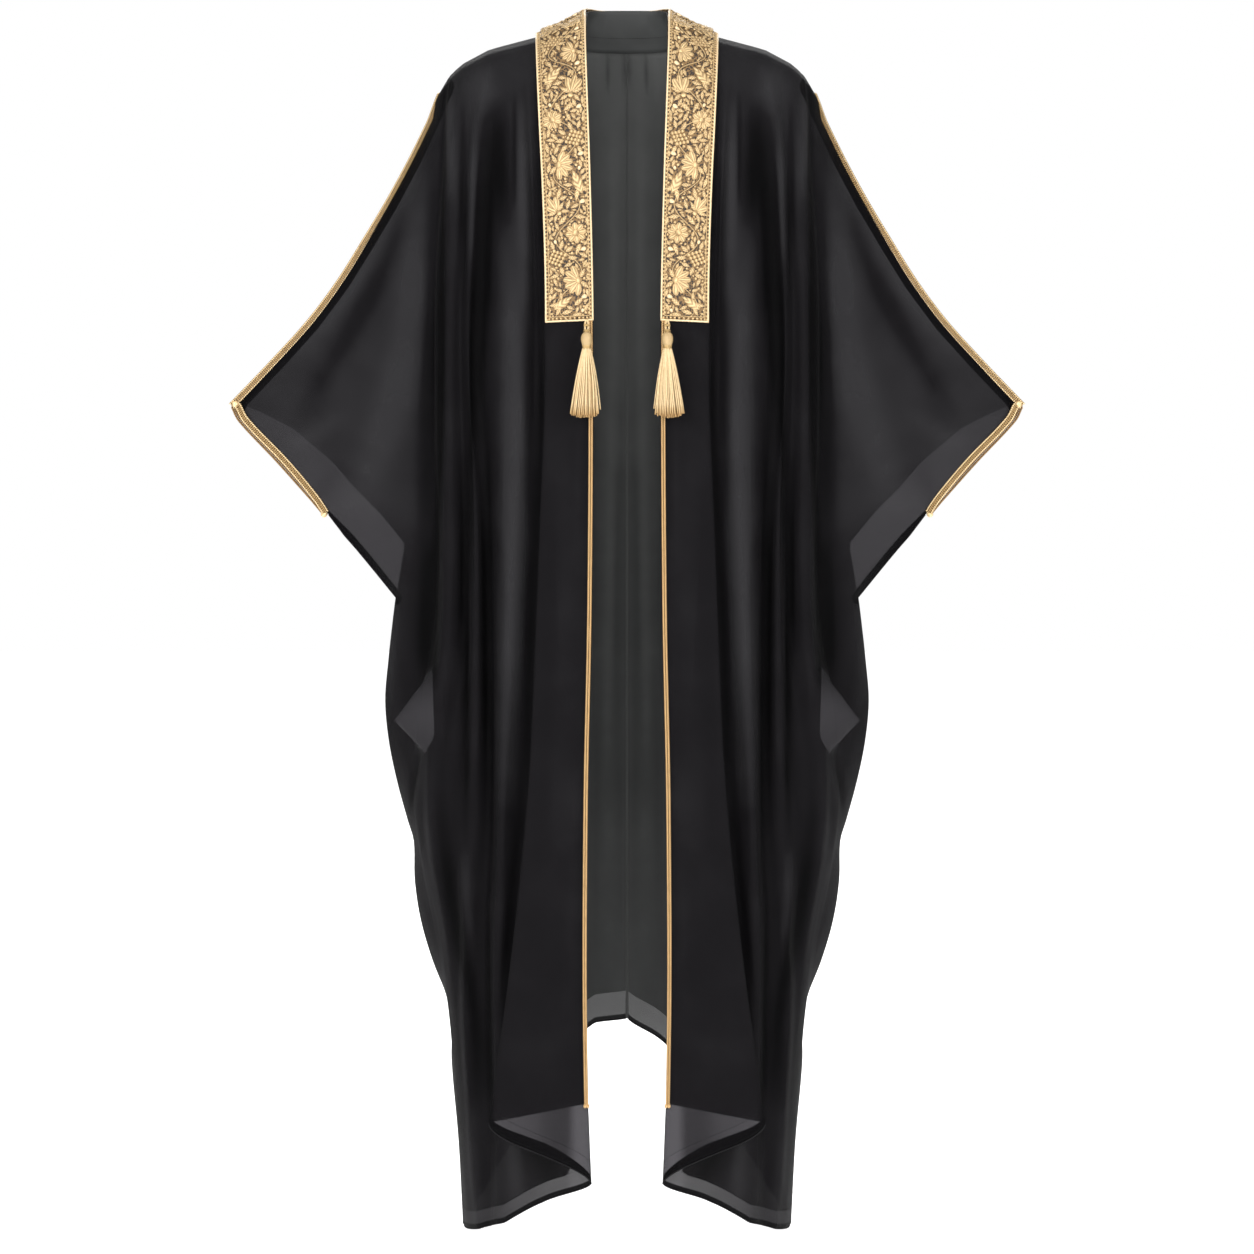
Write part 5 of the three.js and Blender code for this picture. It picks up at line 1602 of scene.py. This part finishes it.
# %% Paths of the trims
def evenly(path, step, extra=()):
    """Points at equal steps along a path, and any direction lists read at the same places."""
    path = np.asarray(path, float)
    along = np.r_[0, np.cumsum(np.linalg.norm(np.diff(path, axis=0), axis=1))]
    count = max(2, int(round(along[-1] / step)) + 1)
    at = np.linspace(0, along[-1], count)
    read = [
        np.stack([np.interp(at, along, np.asarray(line)[:, k]) for k in range(3)], axis=1)
        for line in (path, *extra)
    ]
    for line in read[1:]:
        line /= np.linalg.norm(line, axis=1, keepdims=True)
    return read


front_base_normals = surface_normals(front_flat, -1)
edge_line, inner_line = front_flat[band_rows:, 0], front_flat[band_rows:, FRONT_FINER]
inward = inner_line - edge_line
inward /= np.linalg.norm(inward, axis=1, keepdims=True)
piping_in = np.interp(-edge_line[:, 2], [700, 1000], [3.3, 2.6])
edge_out = front_base_normals[band_rows:, 0]
piping_middle = edge_line + inward * piping_in[:, None] + edge_out * 2.6
keep = piping_middle[:, 2] > PIPING_END
keep[: int(keep.sum()) + 1] = True
piping_middle, piping_across, piping_out = evenly(
    piping_middle[keep], 2.7, (inward[keep], edge_out[keep])
)
above_end = piping_middle[:, 2] >= PIPING_END
piping_middle, piping_across, piping_out = (
    line[above_end] for line in (piping_middle, piping_across, piping_out)
)


def outline_normal(z):
    a, b = outline_out(z + 6), outline_out(z - 6)
    out = np.stack([np.full_like(a, 12.0), np.zeros_like(a), b - a], axis=1)
    return out / np.linalg.norm(out, axis=1, keepdims=True)


z = np.linspace(-76, TIP + 2.5, 124)
wide = outline_normal(np.maximum(z, TIP + 8))
set_in = np.interp(-z, [76, 108], [1.6, 4.1])
top_middle = np.stack([outline_out(z), 0 * z, z], axis=1) - wide * set_in[:, None]
top_middle, top_across = evenly(top_middle, 2.5, (wide,))

CUFF_WIDE = np.array([0.735, 0.0, -0.678])


def cuff_leg(facing):
    z = np.linspace(TIP - 1, CUFF_END + 3, 60)
    out = seam_edge(z, facing) + 1.8 + 4 / CUFF_WIDE[0]
    return np.stack([out, facing * (2.5 + 9.5 * cuff_swell(z)), z], axis=1)


cuff_front, cuff_back = evenly(cuff_leg(-1), 2.5)[0], evenly(cuff_leg(1), 2.5)[0]
print(
    "piping", round(len(piping_middle) * 2.7), "mm; sleeve braid", round(len(top_middle) * 2.5),
    "mm; cuff", round(len(cuff_front) * 2.5), "mm"
)

# %% Lays of thread on a cord and on a braid
def cord_lays(path, across, out, side, slant=0.75):
    """One slanting lay a step, on the outer face of a cord."""
    ahead = np.gradient(path, axis=0)
    ahead /= np.linalg.norm(ahead, axis=1, keepdims=True)
    lay = ahead + slant * side * across
    return [(SPINDLE, path[k] + out[k] * 0.35, lay[k], out[k], (3.9, 1.75, 2.3)) for k in range(len(path))]


def braid_lays(path, across, out, small=1.0):
    """Herringbone on one face of a braid, with a cord's lays along both edges."""
    ahead = np.gradient(path, axis=0)
    ahead /= np.linalg.norm(ahead, axis=1, keepdims=True)
    plait, rims = [], []
    for k in range(len(path)):
        for side in (-1, 1):
            centre = path[k] + across[k] * side * 1.0 + out[k] * 1.05
            plait.append(
                (SPINDLE, centre, ahead[k] - 0.9 * side * across[k], out[k], (2.5 * small, 1.15, 1.6))
            )
            rim = path[k] + across[k] * side * 3.05 + out[k] * 0.5
            rims.append((SPINDLE, rim, ahead[k] + 0.5 * side * across[k], out[k], (3.5, 1.8, 2.4)))
    return plait, rims


def along_both(path, across, away):
    return [path + across * away, path - across * away]


def flipped(spots, sign):
    return [(kind, mirror(p, sign), mirror(d, sign), mirror(o, sign), size) for kind, p, d, o, size in spots]


trim_pieces = {}
for side, sign in (("left", 1), ("right", -1)):
    paths = [mirror(p, sign) for p in along_both(piping_middle, piping_across, 1.3)]
    core = cords("piping_cords_" + side, paths, 1.1, braid_core_and_shade_gold, sides=8)
    lays = []
    for away, slant in ((1.35, 1), (-1.35, -1)):
        lays.extend(cord_lays(piping_middle + piping_across * away, piping_across, piping_out, slant))
    end = piping_middle[-1]
    lays.extend(
        (BEAD, end + np.array([d, 0, -1.0]), (0, 0, -1), piping_out[-1], (5.0, 4.0, 3.0))
        for d in (-1.6, 1.6)
    )
    trim_pieces["front_piping_" + side] = [
        core, sewn("piping_lays_" + side, flipped(lays, sign), small_shapes, braid_gold)
    ]

    face = np.tile([0.0, -1.0, 0.0], (len(top_middle), 1))
    paths = [mirror(p, sign) for p in along_both(top_middle, top_across, 2.9) + [top_middle]]
    core = cords("sleeve_braid_cords_" + side, paths, 1.4, braid_core_gold, sides=8)
    plait, rims = (
        a + b
        for a, b in zip(
            braid_lays(top_middle, top_across, face), braid_lays(top_middle, top_across, -face)
        )
    )
    trim_pieces["sleeve_top_braid_" + side] = [
        core, sewn("sleeve_braid_plait_" + side, flipped(plait, sign), small_shapes, plait_gold),
        sewn("sleeve_braid_rims_" + side, flipped(rims, sign), small_shapes, rim_gold)
    ]

    paths, right_plait, right_rims, inner_face_shade_lays = [], [], [], []
    for leg, facing in ((cuff_front, -1), (cuff_back, 1)):
        across = np.tile(CUFF_WIDE, (len(leg), 1))
        face = np.tile([0.0, float(facing), 0.0], (len(leg), 1))
        paths.extend(mirror(p, sign) for p in along_both(leg, across, 2.8) + [leg])
        plait, rims = braid_lays(leg, across, face)
        right_plait, right_rims = right_plait + plait, right_rims + rims
        # The lays on the braid's inner faces take the darker gold: painted shade in the hand opening.
        inner_face_shade_lays += sum(braid_lays(leg, across, -face), [])
    foot = (cuff_front[-1] + cuff_back[-1]) / 2
    right_rims.extend(
        (BEAD, foot + np.array([0.6, f * 0.6, -2.0]), (0.3, 0, -1), (0, f, 0), (9.0, 8.0, 5.6))
        for f in (-1, 1)
    )
    tip = (cuff_front[0] + cuff_back[0]) / 2
    right_rims.extend(
        (BEAD, tip + np.array([0.5, f * 0.6, 2.0]), (0.7, 0, 0.7), (0, f, 0), (8.6, 7.4, 4.4))
        for f in (-1, 1)
    )
    core = cords("cuff_braid_cords_" + side, paths, 1.25, braid_core_gold, sides=8)
    trim_pieces["cuff_braid_" + side] = [
        core, sewn("cuff_braid_plait_" + side, flipped(right_plait, sign), small_shapes, plait_gold),
        sewn("cuff_braid_rims_" + side, flipped(right_rims, sign), small_shapes, rim_gold),
        sewn("cuff_braid_wrong_side_" + side, flipped(inner_face_shade_lays, sign), small_shapes, braid_core_and_shade_gold)
    ]

# %% [markdown]
# ## Tassels
# A tassel is a bundle of satin threads tied at the top. The threads start close together
# under the binding and open out towards the cut ends, some a little longer than others.

# %% Tassel: loop, head, binding and strands
TASSEL_OUT, TASSEL_FORE, TASSEL_HOOK, TASSEL_FLAT = 46.5, -138.5, -122.3, 0.62
HEAD_TOP, HEAD_FOOT, SKIRT_END = -360.0, -379.0, -457.0
TASSEL_LEAN, STRANDS = 2.6, 120


def turned(profile, sides):
    """A closed turned shape about the tassel's axis."""
    turn = 2 * np.pi * np.arange(sides) / sides
    rings = [
        np.stack([r * np.cos(turn), r * np.sin(turn), np.full(sides, float(z))], axis=1)
        for r, z in profile
    ]
    points = np.vstack(rings)
    k, s = np.meshgrid(np.arange(len(profile) - 1), np.arange(sides), indexing="ij")
    a, b = (k * sides + s).ravel(), (k * sides + (s + 1) % sides).ravel()
    faces = np.c_[a, b, b + sides, a + sides]
    return points, faces


def onto_garment(points, sign, flatten=True):
    """From the tassel's own axis to its place in front of the band's end."""
    points = np.array(points, float)
    z = points[:, 2]
    flat = 1 + (TASSEL_FLAT - 1) * (np.clip((HEAD_FOOT - z) / 30, 0, 1) if flatten else 0)
    back = (TASSEL_HOOK - TASSEL_FORE) * np.clip((z - HEAD_TOP - 1) / 12, 0, 1)
    out = TASSEL_OUT + TASSEL_LEAN * np.clip((HEAD_FOOT - z) / (HEAD_FOOT - SKIRT_END), 0, 1)
    return np.stack([sign * (points[:, 0] + out), points[:, 1] * flat + TASSEL_FORE + back, z], axis=1)


def strand_paths(seed):
    rng = np.random.default_rng(seed)
    paths = []
    for k in range(STRANDS):
        share = math.sqrt((k + 0.6) / STRANDS)
        angle = k * 2.39996 + rng.normal(0, 0.05)
        reach = 17.0 * share * rng.uniform(0.94, 1.05)
        end = SKIRT_END + rng.uniform(0, 3.0) + 4.5 * share**3
        stray = k > 0.85 * STRANDS and rng.random() < 0.35
        reach, end = (reach * 1.12, end + 5) if stray else (reach, end)
        bow = rng.uniform(-1.2, 1.2) * (3 if stray else 1)
        t = np.linspace(0, 1, 9)
        radius = 4.6 * share + (reach - 4.6 * share) * (1.45 * t - 0.65 * t**2 + 0.2 * t**3)
        turn = angle + 0.07 * bow * np.sin(np.pi * t)
        drop = HEAD_FOOT + 2 + (end - HEAD_FOOT - 2) * t
        paths.append(np.stack([radius * np.cos(turn), radius * np.sin(turn), drop], axis=1))
    return paths


for side, sign in (("left", 1), ("right", -1)):
    skirt = cords(
        "tassel_strands_" + side, [onto_garment(p, sign) for p in strand_paths(7 if sign > 0 else 8)],
        0.78, skirt_gold, sides=5
    )
    head_profile = [
        (0.4, HEAD_TOP + 2.4),
        (3.4, HEAD_TOP + 1.6),
        (5.4, HEAD_TOP - 0.8),
        (6.4, HEAD_TOP - 4),
        (6.4, HEAD_TOP - 7.5),
        (5.8, HEAD_TOP - 10.6),
        (4.8, HEAD_TOP - 13.4),
        (4.2, HEAD_TOP - 16),
        (4.5, HEAD_FOOT + 1),
        (4.8, HEAD_FOOT - 1),
        (0.4, HEAD_FOOT - 1.5)
    ]
    points, faces = turned(head_profile, 24)
    ring = np.arange(24).reshape(1, -1)
    caps = [ring[:, ::-1], ring + 24 * (len(head_profile) - 1)]
    turn = np.tile(np.arange(24) * 2 * math.pi * 6 / 24, len(head_profile))
    uv = np.c_[turn, points[:, 2] * 0.25]
    placed = onto_garment(points, sign, flatten=False)
    out_faces = facing_out(placed, faces)
    if not np.array_equal(out_faces, faces):
        caps = [c[:, ::-1] for c in caps]
    head = new_piece("tassel_head_" + side, placed, [out_faces, *caps], uv=uv)
    head.data.materials.append(head_gold)
    turn = np.linspace(0, 2 * math.pi, 25)[:-1]
    rings = [
        onto_garment(np.stack([r * np.cos(turn), r * np.sin(turn), np.full(24, z)], axis=1), sign, False)
        for r, z in (
            (4.6, HEAD_TOP - 13.6),
            (4.2, HEAD_TOP - 14.9),
            (4.1, HEAD_TOP - 16.2),
            (4.3, HEAD_TOP - 17.5),
            (3.2, HEAD_TOP + 3.2),
            (2.5, HEAD_TOP + 4.6),
            (2.9, HEAD_TOP + 9.4),
            (2.7, HEAD_TOP + 10.8)
        )
    ]
    binding = cords("tassel_binding_" + side, rings, 0.75, plait_gold, sides=6, closed=True)
    turn = np.linspace(0, 2 * math.pi, 33)[:-1]
    strands = []
    for phase in (0, math.pi):
        wind = turn * 9 + phase
        out = (1.9 + 0.7 * np.cos(wind)) * np.cos(turn)
        up = HEAD_TOP + 9 + (6.8 + 0.7 * np.cos(wind)) * np.sin(turn)
        strands.append(onto_garment(np.stack([out, 0.7 * np.sin(wind), up], axis=1), sign))
    loop = cords("tassel_loop_" + side, strands, 0.85, rim_gold, sides=6, closed=True)
    trim_pieces["tassel_" + side] = [skirt, head, binding, loop]

# %% [markdown]
# ## Hems, seams and stitches
# Georgette frays, so its edges are rolled and sewn. The rolls are thin dark cords along
# each lower edge, the centre back has a flat felled seam, and rows of small stitches hold
# the hems and the stand.

# %% Rolled edges, centre seam and stitches
thread_black, _tree, _shader = new_material("black_thread")
_texture = _tree.nodes.new("ShaderNodeTexCoord")
_thread = place_group(_tree, twist, _texture.outputs["UV"], Turns=6000.0, Slant=0.6)
_tree.links.new(_texture.outputs["Object"], _thread.inputs["Place"])
# Painted glints: the black thread's colour varies by the glint noise.
_tree.links.new(
    mix_colours(_tree, _thread.outputs["Painted glint"], (0.004, 0.0038, 0.0042), (0.012, 0.0115, 0.0125)),
    _shader.inputs["Base Color"]
)
_shader.inputs["Roughness"].default_value = 0.65
_shader.inputs["Specular IOR Level"].default_value = 0.06
add_bump(_tree, _shader, _thread.outputs["Height"], 0.4, 0.0001)


def above_hem(grid, normals, up, lift, pitch):
    """An even row of points on the cloth, a given length above the hem, with directions."""
    height = height_above_hem(grid)
    line, out = [], []
    for i in range(grid.shape[1]):
        order = np.argsort(height[:, i])
        line.append([np.interp(up, height[order, i], grid[order, i, k]) for k in range(3)])
        out.append([np.interp(up, height[order, i], normals[order, i, k]) for k in range(3)])
    path, out = evenly(line, pitch, (out,))
    return path + out * lift, out


def stitch_row(path, out, long=2.1, thick=0.5):
    ahead = np.gradient(path, axis=0)
    return [(SPINDLE, path[k], ahead[k], out[k], (long, thick, thick)) for k in range(len(path))]


hem_pieces = {}
for side, sign in (("left", 1), ("right", -1)):
    fronts = (front_grid, front_normals)
    backs = (back_grid_lean, back_normals_lean) if sign > 0 else (back_grid, back_normals)
    for part, (grid, normals), levels, facing in (
        ("front", fronts, front_levels, -1), ("back", backs, back_levels, 1)
    ):
        lower = (levels <= CUFF_END) & (levels >= UNDERARM)
        rolls = [evenly(grid[-1], 4.0)[0], grid[lower, -1] + np.array([0, facing * 0.3, 0])]
        roll = cords(
            f"{part}_rolled_hem_{side}", [mirror(p, sign) for p in rolls], 0.95, thread_black, sides=6
        )
        spots = []
        for up in (3.4, (HEM_BORDER if facing < 0 else BACK_BORDER) + 1.5):
            spots += stitch_row(*above_hem(grid, normals, up, 0.6, 3.4))
        sewing = sewn(f"{part}_hem_stitches_{side}", flipped(spots, sign), small_shapes, thread_black)
        hem_pieces[part + "_" + side] = [roll, sewing]
seam_line = back_grid[:, 0] * [0, 1, 1]
seam_path, seam_out = evenly(seam_line, 5.0, (back_normals[:, 0] * [0, 1, 1],))
seam = cords(
    "centre_back_seam", [seam_path - seam_out * 0.35 + [d, 0, 0] for d in (-1.1, 0.0, 1.1)], 0.5,
    georgette_seam, sides=6
)
fine_path, fine_out = evenly(seam_line, 3.4, (back_normals[:, 0] * [0, 1, 1],))
stand_low = stand_grid[:, 4]
stand_path, stand_out = evenly(stand_low, 3.2, (-stand_normals[:, 4],))
spots = stitch_row(fine_path + fine_out * 0.6 + [2.2, 0, 0], fine_out)
spots += stitch_row(fine_path + fine_out * 0.6 - [2.2, 0, 0], fine_out)
spots += stitch_row(stand_path + stand_out * 0.8, stand_out)
seam_stitches = sewn("seam_stitches", spots, small_shapes, thread_black)

# %% [markdown]
# ## What each piece stands for
# Every piece rides on the garment's one body and replaces the plain CAD node in its place.
# The four panels are sheets of cloth.

# %% Ride and replace
FRONT_CUT, FRONT_AREA = (0.60, 1.55), 0.62
BACK_CUT, BACK_AREA = (0.60, 1.50), 0.54


def dress(piece, slot, *nodes):
    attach(piece, "root")
    if nodes:
        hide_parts(*nodes)


dress(neck_stand, "black_georgette", "neck_stand")
dress(seam, "black_georgette")
dress(seam_stitches, "black_georgette")
for side in ("left", "right"):
    ground, work, edge, fine, bright = band_pieces[side]
    for piece, slot in (
        (ground, "black_georgette"),
        (work, "gold_embroidery"),
        (edge, "gold_braid"),
        (fine, "gold_embroidery"),
        (bright, "gold_embroidery")
    ):
        dress(piece, slot, "collar_band_" + side)
    for node in ("front_piping_", "sleeve_top_braid_", "cuff_braid_"):
        for piece in trim_pieces[node + side]:
            dress(piece, "gold_braid", node + side)
    skirt, head, binding, loop = trim_pieces["tassel_" + side]
    for piece, slot in (
        (skirt, "gold_satin"), (head, "gold_satin"), (binding, "gold_braid"), (loop, "gold_satin")
    ):
        dress(piece, slot, "tassel_" + side)
    for part, cut, area, rests in (
        ("front", FRONT_CUT, FRONT_AREA, "back_panel_" + side),
        ("back", BACK_CUT, BACK_AREA, "neck_stand")
    ):
        cloth = cloth_pieces[part + "_" + side]
        dress(cloth, "black_georgette", f"{part}_panel_{side}")
        for piece in hem_pieces[part + "_" + side]:
            dress(piece, "black_georgette")

# %% [markdown]
# ## Floor and light
# A pale floor carries the garment's faint shadow. A white surrounding and large soft lamps
# from both sides of the camera show black cloth by its folds.

# %% Floor, world and lamps
ROOM_LIGHT = 0.3
FLOOR_HALF, FLOOR_LEVEL = 9, -1.4315
floor_mesh = bpy.data.meshes.new("floor")
floor_corners = [
    (FLOOR_HALF * a, FLOOR_HALF * b, FLOOR_LEVEL) for a, b in ((-1, -1), (1, -1), (1, 1), (-1, 1))
]
floor_mesh.from_pydata(floor_corners, [], [(0, 1, 2, 3)])
floor = bpy.data.objects.new("floor", floor_mesh)
bpy.context.scene.collection.objects.link(floor)
floor_material, _tree, _shader = new_material("pale_floor")
_shader.inputs["Base Color"].default_value = (0.8, 0.8, 0.8, 1)
_shader.inputs["Roughness"].default_value = 0.9
_shader.inputs["Emission Color"].default_value = (1.0, 1.0, 1.0, 1)
_shader.inputs["Emission Strength"].default_value = 0.93
floor_mesh.materials.append(floor_material)

world = bpy.data.worlds.new("studio")
world.use_nodes = True
_tree = world.node_tree
_tree.nodes["Background"].inputs["Color"].default_value = (1.0, 1.0, 1.0, 1)
_path = _tree.nodes.new("ShaderNodeLightPath")
_strength = math_node(
    _tree, "ADD", math_node(_tree, "MULTIPLY", _path.outputs["Is Camera Ray"], 1.0 - ROOM_LIGHT),
    ROOM_LIGHT
)
_tree.links.new(_strength, _tree.nodes["Background"].inputs["Strength"])
bpy.context.scene.world = world
bpy.context.scene.view_settings.view_transform = "Standard"


def softbox(name, place, target, size, power):
    data = bpy.data.lights.new(name, "AREA")
    data.shape = "RECTANGLE"
    data.size, data.size_y = size
    data.energy = power
    lamp = bpy.data.objects.new(name, data)
    bpy.context.scene.collection.objects.link(lamp)
    lamp.location = place
    lamp.rotation_euler = (Vector(target) - Vector(place)).to_track_quat("-Z", "Y").to_euler()
    return lamp


softbox("key", (-2.2, -3.2, 1.0), (0, 0, -0.6), (1.4, 2.2), 98)
softbox("fill", (2.4, -3.0, 0.8), (0, 0, -0.7), (1.4, 2.2), 72)
softbox("front", (0, -4.7, -0.2), (0, 0, -0.7), (1.0, 1.0), 62).visible_camera = False
softbox("top", (0, -0.8, 2.6), (0, 0, -0.5), (2.4, 1.6), 46)
softbox("behind", (0, 3.4, 0.9), (0, 0, -0.7), (2.6, 2.2), 70)
